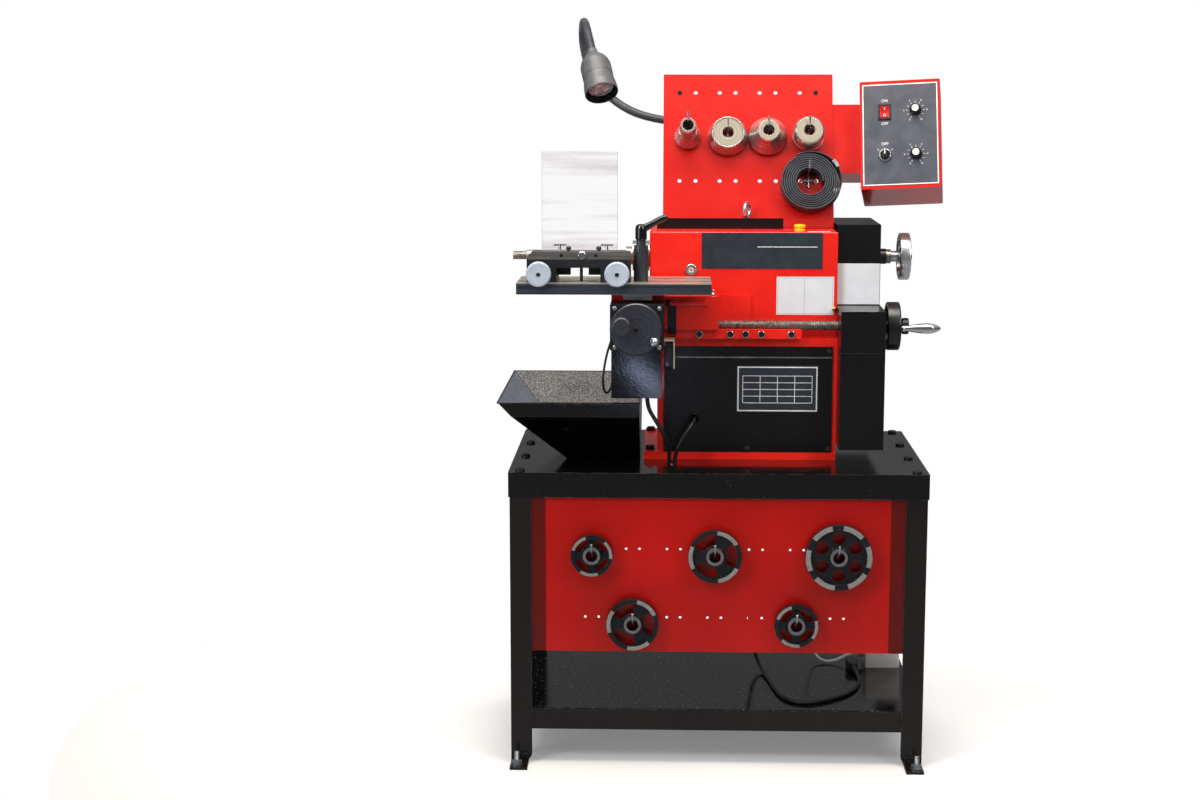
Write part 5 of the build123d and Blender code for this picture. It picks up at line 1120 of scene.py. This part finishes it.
class LATHE_OT_adapters(bpy.types.Operator):
    """Five drum adapters with ground lands on their rims"""

    bl_idname = "lathe.adapters"
    bl_label = "Drum adapters"

    def execute(self, context):
        for number, (x, z, diameter, spokes, holes, first, lands) in enumerate(ADAPTERS, 1):
            rim = diameter / 2
            wide = LAND_SHARE * rim
            bed = rim - wide - 1
            place = facing(x, ADAPTER_BACK, z)
            form = Form("black_adapter_enamel", "worn_land_iron", "dull_hub_iron")
            form.lathe([(0, bed), (0, rim), (24, rim), (24, bed)], 0, place, 72, ring=True, soft=1.2)
            outlines = [circle(rim - 3.5, steps=64), circle(13.5)]
            for k in range(spokes):
                middle = first + 360 / spokes * (k + 0.5)
                outlines.append(sector(24.5, bed - 0.5, middle, 180 / spokes - SPOKE_HALF[spokes]))
            for k in range(holes):
                spot = polar(HOLE_REACH, math.radians(first + 360 / holes * k))
                outlines.append(circle(HOLE_R, *spot, 32))
            form.plate(outlines, (7, 15), 0, place, 0.8)
            form.lathe([(0, BORE), (0, 22), (15, 23.5), (25, 20.5), (26, 19.5), (26, BORE)], 0, place, 56,
                       ring=True, soft=0.6)
            form.lathe([(25.8, 12.6), (25.8, 18.6), (26.3, 18.2), (26.3, 13.0)], 2, place, 56, ring=True)
            half = 20 if len(lands) > 3 else 27
            for middle in lands:
                form.plate([sector(rim - wide, rim - 0.8, middle, half)], (23.5, 24.6), 1, place, 0.25)
            form.done("drum_adapter_%d" % number, "stand", "black_iron", "drum_adapters")
        return {"FINISHED"}


# Cones on the board: place along it and outline, as height over the back and radius
CONES = (
    (-67, ((0, BORE), (0, 28), (2, 30), (6, 30), (40, 20), (40, 16.5), (46, 16.5), (46, 20), (54, 20),
           (54, 18), (57, 18), (57, 19.5), (82, 18.5), (86, 16.5), (86, BORE))),
    (23.5, ((0, BORE), (0, 43), (2.5, 45), (6, 45), (33, 37.5), (36, 35.5), (36, 33.5), (34, 32.5),
            (34, BORE))),
    (114, ((0, BORE), (0, 42), (2.5, 44), (6, 44), (50, 25), (52, 23.5), (52, BORE))),
    (205, ((0, BORE), (0, 33), (3, 35.5), (12, 35.5), (12, 33), (20, 33), (20, 35.5), (42, 35), (49, 32.5),
           (52, 29.5), (52, BORE))),
)
# Heights up the board, and the gap between its face and what hangs there
CONE_ROW, BELT_MIDDLE, BOLT_ROW, HUNG_GAP = 211.5, 98.6, 317.5, 6


class LATHE_OT_cones(bpy.types.Operator):
    """Turned cones and collet on the tool board"""

    bl_idname = "lathe.cones"
    bl_label = "Centring cones"

    def execute(self, context):
        for number, (x, outline) in enumerate(CONES, 1):
            form = Form("turned_cone_steel", "turned_face_steel")
            place = on_board(x, CONE_ROW, HUNG_GAP)
            form.lathe(outline, 0, place, 72, ring=True, soft=0.3)
            outer = outline[-2][1]
            end, inner = outline[-1]
            form.lathe([(end - 0.2, inner + 0.8), (end - 0.2, outer - 0.8), (end + 0.3, outer - 1),
                        (end + 0.3, inner + 1)], 1, place, 72, ring=True)
            form.done("centering_cone_%d" % number, "stand", "steel", "centering_cones")
        return {"FINISHED"}


class LATHE_OT_silencer_belt(bpy.types.Operator):
    """Rolled silencer belt with its loose end and buckle"""

    bl_idname = "lathe.silencer_belt"
    bl_label = "Silencer belt"

    def execute(self, context):
        place = on_board(205, BELT_MIDDLE, HUNG_GAP)
        core, pitch, thick, wide, steps = 29, 5.0, 3.7, 38.0, 26
        first = core + 4.3 / 2
        turns = context.scene.lathe_sizes.roll_turns
        rings = []
        for half in range(2 * turns):
            centre = 0 if half % 2 == 0 else pitch / 2
            radius = first + half * pitch / 2
            for step in range(steps):
                rings.append(self.section(centre, radius, math.pi * (half + step / steps), thick, wide))
        rings.append(self.section(0, first + pitch * turns, 0.0, thick, wide))
        form = Form("slate_belt_rubber", "zinc_plated_steel")
        form.hull(rings, 0, place)
        # The outer end has sprung loose round the right side, under its buckle
        rim = first + pitch * turns - 1.0
        loose = []
        for step in range(41):
            share = step / 40
            swell = 6.0 * math.sin(math.pi * share) ** 2 + 0.8
            loose.append(self.section(0, rim + swell, math.radians(-75 + 190 * share), 3.0, wide))
        form.hull(loose, 0, place)
        seat, pin = rim + 3.6, rim + 7.2
        clasp = place @ Matrix.Translation((1.6, 1.2, 0)) @ Matrix.Rotation(math.radians(34), 4, "Z")
        for x, y, z in (((-4, 3.4), (-9, -6.4), (-1.6, 39.6)), ((-4, 3.4), (6.4, 9), (-1.6, 39.6)),
                        ((-4, 3.4), (-9, 9), (-2.6, 0.4)), ((-4, 3.4), (-9, 9), (37.6, 40.6)),
                        ((1.6, 3.6), (-5, 4), (6, 32))):
            form.block((seat + x[0], seat + x[1]), y, z, 1, clasp, 0.8)
        form.tube([(pin, 0, -2), (pin, 0, 40)], 1.7, 1, clasp)
        form.done("rolled_belt", "stand", "belt_rubber", "silencer_belt")
        return {"FINISHED"}

    def section(self, centre, radius, turn, thick, wide):
        """Rounded band section at a point of the spiral."""
        near, far, soft = radius - thick / 2, radius + thick / 2, 0.9
        spots = ((near + soft, 0), (far - soft, 0), (far, soft), (far, wide - soft), (far - soft, wide),
                 (near + soft, wide), (near, wide - soft), (near, soft))
        return [(centre + r * math.cos(turn), r * math.sin(turn), out) for r, out in spots]


class LATHE_OT_wheels(bpy.types.Operator):
    """Draw wheel, feed wheel with its handle, lead screw and arbor"""

    bl_idname = "lathe.wheels"
    bl_label = "Wheels and screws"

    def execute(self, context):
        spindle, feed, handle = (rightward(0, *axis) for axis in (SPINDLE, FEED, HANDLE))
        self.draw_wheel(spindle)
        self.feed_wheel(feed, handle)
        self.grip(handle)
        self.feed_screw(feed)
        self.arbor(spindle)
        return {"FINISHED"}

    def draw_wheel(self, spindle):
        """Bright wheel at the end of the draw rod."""
        form = Form("turned_aluminium", "dark_screw_steel")
        self.wheel(form, spindle, (409, 433), 12.5, (391.5, 425))
        form.lathe([(425, 0), (425, 8), (437.5, 8), (439, 6.5), (439, 0)], 1, spindle, 32)
        form.done("draw_hand_wheel", "draw_wheel", "silver_wheel", "draw_wheel")

    def feed_wheel(self, feed, handle):
        """Black wheel of the lead screw, with the stud of its handle."""
        form = Form("satin_black_phenolic", "dark_screw_steel")
        self.wheel(form, feed, (368, 397), 13, (360, 402))
        form.lathe(round_bar(391, 472, 4), 1, handle, 20)
        form.done("feed_hand_wheel", "lead_screw", "gloss_black", "feed_wheel")

    def grip(self, handle):
        """Revolving chrome handle."""
        form = Form("polished_chrome")
        form.lathe([(398, 0), (398, 6), (401, 7.2), (404, 6.0), (412, 6.6), (428, 9.2), (442, 11),
                    (454, 11.5), (464, 10.6), (473, 7.8), (479, 4.4), (482, 1.6), (482, 0)], 0, handle, 48,
                   soft=1.2)
        form.done("revolving_handle", "feed_handle", "chrome", "feed_handle")

    def feed_screw(self, feed):
        """Lead screw with its plain end and knurled cap."""
        form = Form("oiled_screw_steel", "black_nylon")
        form.thread(438.0, 11.0, 1.5, 5.0, 0, rightward(-148, *FEED))
        form.lathe(round_bar(290, 404, 9), 0, feed, 32)
        form.lathe([(403, 0), (403, 16.6), (404, 17.4), (416, 17.4), (417, 16.4), (417, 0)], 1, feed, 48)
        form.bars(40, 17.2, (1.6, 1.4, 11.0), 410.0, 1, feed)
        form.done("feed_screw", "lead_screw", "steel", "lead_screw")

    def arbor(self, spindle):
        """Arbor with its threaded end and collar, and the black ring at the spindle's far end."""
        form = Form("turned_cone_steel", "bright_turned_steel", "satin_black_phenolic")
        form.thread(31.0, 9.5, 0.7, 2.5, 1, rightward(-461, *SPINDLE))
        form.lathe([(-431, 0), (-431, 11), (-429.5, BORE), (-205, BORE), (-205, 20.5), (-190, 20.5),
                    (-190, 14), (-132, 14), (-132, 0)], 0, spindle, 56, soft=0.6)
        form.lathe([(358.4, 15.6), (358.4, 17.4), (380, 17.4), (381, 16.6), (381, 15.6)], 2, spindle, 48,
                   ring=True)
        form.done("arbor_shaft", "spindle", "steel", "arbor")

    def wheel(self, form, place, rim, hub_r, hub):
        """Hand wheel about local Z: rounded rim, web with four holes, hub."""
        inner, outer, web, web_r, hole_r = 42, 53, 4, 46, 9
        form.lathe([(rim[0], inner), (rim[0], outer), (rim[1], outer), (rim[1], inner)], 0, place, 80,
                   ring=True, soft=4.4)
        middle = (rim[0] + rim[1]) / 2
        spots = [polar((hub_r + inner) / 2, math.radians(45 + 90 * k)) for k in range(4)]
        outlines = [circle(web_r, steps=64)] + [circle(hole_r, *spot, 28) for spot in spots]
        form.plate(outlines, (middle - web, middle + web), 0, place, 1.0)
        form.lathe(round_bar(*hub, hub_r), 0, place, 48, soft=1.2)


# Places of the bolts along X and Y, and the heights of the bench top and of the casting's flange
TOP_BOLTS = [(x, y) for x in (-425, 425) for y in (-252, -84, 84, 252)]
BASE_BOLTS = ((-148, -70), (-148, 174))
FLOOR_BOLTS = [(x, y) for x in (-433, 433) for y in (-298, 298)]
BENCH_Z, FLANGE_Z = 650, 664


class LATHE_OT_bolts(bpy.types.Operator):
    """Bench bolts, base bolts and floor anchors"""

    bl_idname = "lathe.bolts"
    bl_label = "Bolts and anchors"

    def execute(self, context):
        heads = Form("black_oxide_iron")
        heads.heads(TOP_BOLTS, 10.0, 4.4, 3.6, 28, 0, upward(0, 0, BENCH_Z))
        for x, y in BASE_BOLTS:
            place = upward(x, y, FLANGE_Z)
            heads.lathe(round_bar(0, 2, 11), 0, place, 32, soft=0.4)
            heads.plate([circle(9.5, steps=6)], (2, 9), 0, place, 0.8)
        heads.done("bench_bolt_heads", "stand", "zinc", "bench_bolts")
        anchors = Form("zinc_plated_steel")
        for x, y in FLOOR_BOLTS:
            place = upward(x, y, 0)
            anchors.lathe(round_bar(6, 8.5, 13.5), 0, place, 40, soft=0.4)
            anchors.plate([circle(11, steps=6)], (8.5, 17.5), 0, place, 0.9)
            anchors.thread(19.0, 6.0, 0.6, 1.75, 0, upward(x, y, 17))
        anchors.done("floor_anchors", "stand", "zinc", "bench_bolts")
        return {"FINISHED"}


class LATHE_OT_cross_feed(bpy.types.Operator):
    """Cross-feed disc, gearbox trim, motor box cover and limit switch"""

    bl_idname = "lathe.cross_feed"
    bl_label = "Cross feed"

    def execute(self, context):
        self.disc()
        self.trim()
        return {"FINISHED"}

    def disc(self):
        """Crank disc with its middle screw, knob and bright nut."""
        form = Form("black_turned_disc", "polished_chrome", "black_nylon")
        place = facing(-176, -298, 961)
        form.lathe([(0, 0), (0, 54), (1, 55), (11.6, 55), (14, 52.6), (14, 0)], 0, place, 96, soft=0.5)
        form.lathe([(13.6, 0), (13.6, 5), (15.4, 5), (16, 4.4), (16, 2.4), (14.6, 2.4), (14.6, 0)], 2,
                   place, 24)
        knob = facing(-206, -312, 969.5)
        form.lathe([(-1, 0), (-1, 12), (11, 12.6), (16, 16), (20, 20), (24, 21), (29, 21), (32, 19.6),
                    (33.6, 17.5), (34, 15.5), (34, 0)], 0, knob, 64, soft=1.0)
        nut = facing(-136.6, -311.4, 937)
        form.plate([circle(10.4, steps=6)], (0, 8), 1, nut, 0.8)
        form.lathe([(7, 0), (7, 8.4), (10, 8), (13, 6), (14.6, 3), (15, 0)], 1, nut, 28)
        form.done("cross_feed_disc", "cross_disc", "black_plastic", "cross_disc")

    def trim(self):
        """Gearbox lid and screws, motor box cover, and the limit switch with its bracket."""
        form = Form("black_oxide_iron", "wrinkled_gloss_coat", "zinc_plated_steel", "cream_bracket_enamel",
                    "gloss_black_phenolic")
        form.block((-231, -117), (-293, -196), (1010, 1011.2), 0, edge=0.4)
        form.block((-228.4, -121.6), (-290, -287), (812.4, 914.8), 1, edge=0.8)
        corners = [(x, z) for x in (-221, -127) for z in (922, 1004)]
        form.heads(corners, 4.5, 2.4, 2.2, 20, 2, facing(0, -298.2, 0))
        form.block((-97.4, -94.4), (-229, -195.5), (867, 929.8), 3, edge=0.5)
        form.block((-117, -94.4), (-229, -195.5), (926.4, 930), 3, edge=0.5)
        form.block((-114, -98), (-226.4, -224), (872, 918), 4, edge=0.8)
        form.done("cross_feed_trim", "carriage", "black_sheet")


class LATHE_OT_cutter(bpy.types.Operator):
    """Cutter's ground bar, wing screws, shield, dials and clamp lever"""

    bl_idname = "lathe.cutter"
    bl_label = "Twin cutter"

    def execute(self, context):
        self.bar()
        shield = Form("clear_acrylic_sheet")
        shield.block((-378, -217), (-222, -217), (1103.4, 1330), 0, edge=2.3)
        shield.done("clear_shield", "cross_slide", "clear_acrylic", "chip_shield")
        self.dials()
        self.lever()
        return {"FINISHED"}

    def dials(self):
        """White dials of the two tool holders, with ticks round their rims."""
        for x, body in ((-380.8, "dial_left"), (-216.2, "dial_right")):
            dial = Form("white_dial_enamel", "dark_screw_steel", "black_nylon")
            place = facing(x, -291, 1075.4)
            dial.lathe([(0, 0), (0, 25.5), (1, 26.5), (11, 26.5), (14, 24), (14, 0)], 0, place, 80, soft=0.5)
            dial.lathe([(-26.5, 0), (-26.5, 5), (-26, 11), (0.5, 11), (0.5, 0)], 1, place, 40)
            dial.lathe([(13.4, 0), (13.4, 4.4), (15.2, 4.4), (15.6, 4), (15.6, 2.4), (14.4, 2.4),
                        (14.4, 0)], 1, place, 24)
            dial.bars(40, 26.45, (0.3, 0.5, 5.0), 6.5, 2, place)
            dial.done("cutter_" + body, body, "white_plastic", "cutter_" + body)

    def lever(self):
        """Clamp lever: a domed hub with a bent arm."""
        lever = Form("gloss_black_phenolic")
        x, y = -167, -228
        lever.lathe([(0.3, 0), (0.3, 10.6), (3, 12.4), (25, 12.4), (31, 10.6), (34, 6), (34.4, 0)], 0,
                    upward(x, y, 1142), 40, soft=1.2)
        arm = ((x, 1163), (-159, 1168), (-149, 1173.4), (-138, 1179.6), (-128, 1185), (-119, 1188.8),
               (-112.6, 1190.4), (-110.6, 1190.8))
        lever.tube([(u, y, z) for u, z in arm], [9.4, 8.6, 7.4, 7.0, 7.2, 7.2, 5.4, 2.6], 0, sides=24)
        lever.done("clamp_handle", "clamp_lever", "gloss_black", "clamp_lever")

    def bar(self):
        """Ground bar over the cutter, its screws, and a darker bluish skin on the table's front face."""
        form = Form("ground_bar_steel", "dark_screw_steel", "gloss_black_phenolic", "black_nylon",
                    "polished_chrome", "dark_bluish_front_steel")
        left, right, front, back, low, high, cut = -408.4, -188.6, -258.4, -222.2, 1103, 1120.4, 12
        ring = [(left, low), (right, low), (right, high), (left + cut, high), (left, high - cut)]
        form.hull([[(x, y, z) for x, z in ring] for y in (front, back)], 0, edge=0.6)
        for x in (-339, -239):
            form.lathe([(0, 0), (0, 5), (2.4, 5), (2.4, 2.8), (12, 2.8), (12, 0)], 4, upward(x, -240, 1120),
                       20)
            form.block((x - 14, x + 14), (-241.6, -238.4), (1130.6, 1134.4), 4, edge=1.3)
        for x in (-320, -256):
            form.lathe([(0, 0), (0, 3.2), (2, 3.2), (3.6, 5.0), (6, 5.8), (8.6, 5.2), (10.6, 3.2),
                        (11.2, 0)], 2, upward(x, -247, 1120), 24)
        middle = 1111.6
        form.lathe([(-1, 0), (-1, 9.6), (2.4, 9.6), (4.4, 7.4), (5, 0)], 4, facing(-291, front, middle), 36,
                   soft=0.5)
        for x in (-335, -262):
            form.lathe(round_bar(-1, 0.25, 3.8), 3, facing(x, front, middle), 20)
        form.lathe(round_bar(0, 30, 3.4), 3, upward(-293, -246, 1056.5), 20)
        form.block((-429.2, -17.8), (-285.5, -284.6), (1032, 1053.4), 5, edge=0.3)
        form.done("cutter_bar", "cross_slide", "black_iron")


# Control box: columns and rows of the controls on its face
LEFT_U, RIGHT_U = -34, 34
KNOB_TOP_V, KNOB_LOW_V, ROCKER_V = 54, -47.5, 52
# Height of marks over the face
MARK_OUT = 0.72


class LATHE_OT_control_box(bpy.types.Operator):
    """Face plate, marks, rocker, selector and knobs of the control box"""

    bl_idname = "lathe.control_box"
    bl_label = "Control box"

    def execute(self, context):
        self.face()
        self.rocker()
        self.knobs()
        self.selector()
        return {"FINISHED"}

    def rocker(self):
        """Red power rocker with its two marks."""
        rocker = Form("red_plastic_painted_glow", "white_ink")
        place = on_box(LEFT_U, ROCKER_V)
        ring = [(-13, -4), (13, -4), (13, 6), (6, 4.2), (0, 3.2), (-6, 3.3), (-13, 4)]
        rocker.hull([[(u, v, out) for v, out in ring] for u in (-10, 10)], 0, place, 0.7)
        rocker.block((-0.7, 0.7), (4.5, 9.5), (4.1, 5.3), 1, place, 0.2)
        rocker.lathe([(3.5, 1.9), (3.5, 2.9), (3.95, 2.9), (3.95, 1.9)], 1, on_box(LEFT_U, 44.5), 20,
                     ring=True)
        rocker.done("power_rocker_key", "power_rocker", "red_plastic", "power_rocker")

    def knobs(self):
        """Two fluted knobs with white caps."""
        for v, body in ((KNOB_TOP_V, "speed_knob"), (KNOB_LOW_V, "feed_rate_knob")):
            knob = Form("gloss_black_phenolic", "white_ink")
            place = on_box(RIGHT_U, v)
            knob.lathe([(1, 0), (1, 13), (4, 13), (5, 11), (15.6, 9.8), (17, 8.6), (17, 0)], 0, place, 48,
                       soft=0.6)
            knob.bars(18, 10.3, (1.8, 1.5, 10.0), 10.2, 0, place)
            knob.lathe([(16.6, 0), (16.6, 7.8), (17.3, 7.4), (17.3, 0)], 1, place, 36)
            knob.block((-0.7, 0.7), (6, 12.6), (4.2, 5.6), 1, place, 0.2)
            knob.done(body + "_cap", body, "gloss_black", body)

    def selector(self):
        """Selector with its bright ring and bar grip."""
        selector = Form("gloss_black_phenolic", "zinc_plated_steel", "white_ink")
        place = on_box(LEFT_U, KNOB_LOW_V)
        selector.lathe([(0.5, 0), (0.5, 14.5), (4, 14.5), (5.6, 12.4), (5.6, 11.4), (5, 11), (5, 0)], 1,
                       place, 56, soft=0.4)
        selector.lathe([(4.6, 0), (4.6, 11), (9, 10.6), (9, 0)], 0, place, 48, soft=0.4)
        ring = [(-3.2, -9.6), (3.2, -9.6), (4, -6), (3.6, 9), (1.6, 11), (-1.6, 11), (-3.6, 9), (-4, -6)]
        selector.hull([[(u, v, out) for u, v in ring] for out in (8, 19)], 0, place, 0.8)
        selector.block((-1.1, 1.1), (-2, 10.6), (18.6, 19.4), 2, place, 0.1)
        selector.done("feed_selector_key", "feed_selector", "black_plastic", "feed_selector")

    def face(self):
        """Grey face with its white frame, marks and the rocker's bezel."""
        form = Form("grey_face_film", "white_ink", "black_nylon")
        place = on_box(0, 0)
        form.block((-84, 84), (-118, 118), (-0.4, 0.7), 0, place, 0.3)
        form.plate(border((-83, 83), (-117, 117), 2.2), (0.5, 0.95), 1, place, 0.05)
        for v, mark in ((78, "ON"), (25, "OFF"), (-22, "OFF")):
            form.words(mark, 9, 1, on_box(LEFT_U, v, MARK_OUT))
        for v in (KNOB_TOP_V, KNOB_LOW_V):
            form.bars(11, 18.5, (4.0, 0.9, 0.4), 0.8, 1, on_box(RIGHT_U, v), math.radians(-60),
                      math.radians(30))
            for number in range(0, 11, 2):
                across, up = polar(25.5, math.radians(240 - 30 * number))
                form.words(str(number), 5.4, 1, on_box(RIGHT_U + across, v + up, MARK_OUT))
        for turn in (40, 140):
            mark = on_box(LEFT_U, KNOB_LOW_V) @ Matrix.Rotation(math.radians(turn), 4, "Z")
            form.block((17.5, 22), (-0.5, 0.5), (0.5, 0.95), 1, mark, 0.05)
        for u, v in (((-48, -44.2), (34, 70)), ((-23.8, -20), (34, 70)), ((-48, -20), (34, 38)),
                     ((-48, -20), (66.2, 70))):
            form.block(u, v, (0.5, 3.9), 2, place, 0.5)
        form.done("control_face", "stand", "black_plastic")


# Front of the label that the saddle passes, and of the table on the front panel
LABEL_FRONT, TABLE_FRONT = -75.14, -107


class LATHE_OT_plates(bpy.types.Operator):
    """Bare plates and labels, with generic rules only"""

    bl_idname = "lathe.plates"
    bl_label = "Plates"

    def execute(self, context):
        form = Form("slate_plate_film", "white_ink", "paper_label_film", "grey_ink")
        form.block((-36, 229), (-76.2, -74.6), (1068, 1147.5), 0, edge=0.5)
        form.block((86, 217), (-76.4, -76), (1115.4, 1117), 1, edge=0.1)
        form.block((129, 255), (LABEL_FRONT, -74.9), (967, 1051), 2, edge=0.05)
        rules = facing(0, LABEL_FRONT, 0)
        form.plate(border((131.5, 252.5), (969.5, 1048.5), 0.8), (-0.04, 0.04), 3, rules, 0.01)
        form.plate([oblong((189.6, 190.4), (970, 1048))], (-0.04, 0.04), 3, rules, 0.01)
        form.block((263.5, 356), (-59.5, -58.8), (989, 1079), 2, edge=0.2)
        form.block((196, 246), (-70, -61), (1148.8, 1149.5), 2, edge=0.2)
        form.block((42, 222), (TABLE_FRONT, -105.8), (754, 858), 0, edge=0.4)
        frame_place = facing(0, TABLE_FRONT, 0)
        form.plate(border((44.5, 219.5), (756.5, 855.5), 2.5), (-0.1, 0.2), 1, frame_place, 0.05)
        columns, rows, half = (56, 94, 132, 170, 208), (835, 820, 805, 790, 775), 0.6
        proud = (TABLE_FRONT - 0.2, TABLE_FRONT + 0.1)
        for z in rows:
            form.block((columns[0], columns[-1]), proud, (z - half, z + half), 1, edge=0.05)
        for x in columns:
            form.block((x - half, x + half), proud, (rows[-1], rows[0]), 1, edge=0.05)
        form.done("bare_plates", "stand", "black_plastic")
        return {"FINISHED"}


class LATHE_OT_fittings(bpy.types.Operator):
    """Sight glass, oil cap, nipple, seams, saddle trim and board bolts"""

    bl_idname = "lathe.fittings"
    bl_label = "Fittings"

    def execute(self, context):
        self.sight()
        self.cap()
        self.stand_fittings()
        self.saddle_trim()
        return {"FINISHED"}

    def sight(self):
        """Oil sight glass with its chrome ring and red dot."""
        form = Form("polished_chrome", "sight_glass_lens", "white_ink", "red_plastic_painted_glow",
                    "gloss_black_phenolic")
        place = facing(-59, -75, 1065)
        form.lathe([(0, 9.4), (0, 13), (3.2, 13), (4, 12.2), (4, 10), (2.6, 9.4)], 0, place, 48, ring=True,
                   soft=0.3)
        form.lathe(round_bar(-3, 0.4, 9.6), 4, place, 32)
        form.lathe(round_bar(0.3, 0.8, 6), 2, place, 32)
        form.lathe(round_bar(0.7, 1.1, 2.8), 3, place, 20)
        form.lathe([(1.3, 0), (1.3, 9.5), (2.2, 9.5), (2.9, 6), (3.1, 0)], 1, place, 32)
        form.done("oil_sight", "stand", "lens_glass", "sight_glass")

    def cap(self):
        """Yellow filler cap with a knurled top."""
        form = Form("yellow_cap_plastic")
        place = upward(180, -40, 1149)
        form.lathe([(-6, 0), (-6, 7.5), (0, 7.5), (0, 12.4), (4, 12.4), (5, 9.4), (7.4, 9.4), (7.8, 12.2),
                    (13, 12.2), (14, 11.2), (14, 0)], 0, place, 48, soft=0.6)
        form.bars(24, 12.0, (1.2, 1.5, 4.6), 10.4, 0, place)
        form.done("oil_filler_cap", "stand", "yellow_cap", "oil_cap")

    def stand_fittings(self):
        """Brass nipple, bright edge of the front panel, seams, cable gland and the board's bolts."""
        form = Form("brass_fitting", "dark_screw_steel", "black_gloss_enamel", "bright_turned_steel")
        form.lathe([(0, 0), (0, 5), (4, 5), (5, 3.4), (9, 3.4), (11, 1.8), (11, 0)], 0,
                   facing(256, -75, 980), 24)
        form.block((-116.5, 251.5), (-106.9, -105.8), (874.4, 877.6), 3, edge=0.4)
        form.block((262.4, 357.6), (-191.4, -190.8), (896.4, 897.4), 1, edge=0.1)
        form.block((340.6, 341.4), (-274, 274), (647.8, 648.25), 1, edge=0.05)
        form.lathe([(-3, 0), (-3, 12.5), (4, 12.5), (5, 11.5), (14, 10.5), (14, 0)], 1,
                   facing(-50, -106, 741), 6, soft=0.5)
        for x in (-85, 223):
            form.lathe([(-3, 0), (-3, 5.2), (1.6, 5.2), (2.6, 4.2), (2.6, 0)], 2, on_board(x, BOLT_ROW), 24)
        form.done("stand_fittings", "stand", "black_plastic")

    def saddle_trim(self):
        """Rod, nipple, cover strip and chrome rings on the saddle."""
        form = Form("red_casting_enamel", "black_nylon", "polished_chrome", "satin_black_sheet")
        place = rightward(0, -135, 998)
        form.lathe([(-113, 0), (-113, 6.4), (-24, 6.4), (-23, 5.4), (-23, 0)], 0, place, 32)
        form.lathe([(-115, 0), (-115, 7.4), (-109, 8.0), (-106, 8.0), (-105, 7), (-105, 0)], 1, place, 32)
        form.lathe([(0, 0), (0, 5), (4, 5), (6, 3.6), (12, 3.6), (14, 2.4), (14, 0)], 2,
                   upward(-11, -110, 1012), 24)
        form.block((-110, -91), (-136.4, -134.6), (930, 1005), 3, edge=0.5)
        for x in (-41, 27, 60, 95, 160):
            form.lathe([(0, 5.4), (0, 8), (1.4, 8), (1.8, 7.4), (1.8, 5.4)], 2, facing(x, -122, 929), 28,
                       ring=True)
        form.done("saddle_trim", "carriage", "red_casting")


class LATHE_PT_pieces(bpy.types.Panel):
    """Lists the pieces"""

    bl_idname = "LATHE_PT_pieces"
    bl_label = "Brake lathe"
    bl_space_type = "VIEW_3D"
    bl_region_type = "UI"
    bl_category = "Lathe"

    def draw(self, context):
        for group in (context.scene.lathe_sizes, context.scene.lathe_colours):
            for field in group.bl_rna.properties.keys():
                if field not in ("rna_type", "name"):
                    self.layout.prop(group, field)
        for step in STEPS:
            self.layout.operator(step.bl_idname)


STEPS = (LATHE_OT_finishes, LATHE_OT_stage, LATHE_OT_cords, LATHE_OT_lamp, LATHE_OT_hopper, LATHE_OT_adapters,
         LATHE_OT_cones, LATHE_OT_silencer_belt, LATHE_OT_wheels, LATHE_OT_bolts, LATHE_OT_cross_feed,
         LATHE_OT_cutter, LATHE_OT_control_box, LATHE_OT_plates, LATHE_OT_fittings)
CLASSES = (LatheSizes, LatheColours) + STEPS + (LATHE_PT_pieces,)


def register():
    for part in CLASSES:
        bpy.utils.register_class(part)
    bpy.types.Scene.lathe_sizes = bpy.props.PointerProperty(type=LatheSizes)
    bpy.types.Scene.lathe_colours = bpy.props.PointerProperty(type=LatheColours)


def unregister():
    del bpy.types.Scene.lathe_colours
    del bpy.types.Scene.lathe_sizes
    for part in reversed(CLASSES):
        bpy.utils.unregister_class(part)


def main():
    register()
    for step in STEPS:
        group, name = step.bl_idname.split(".")
        getattr(getattr(bpy.ops, group), name)()


if __name__ == "__main__":
    main()
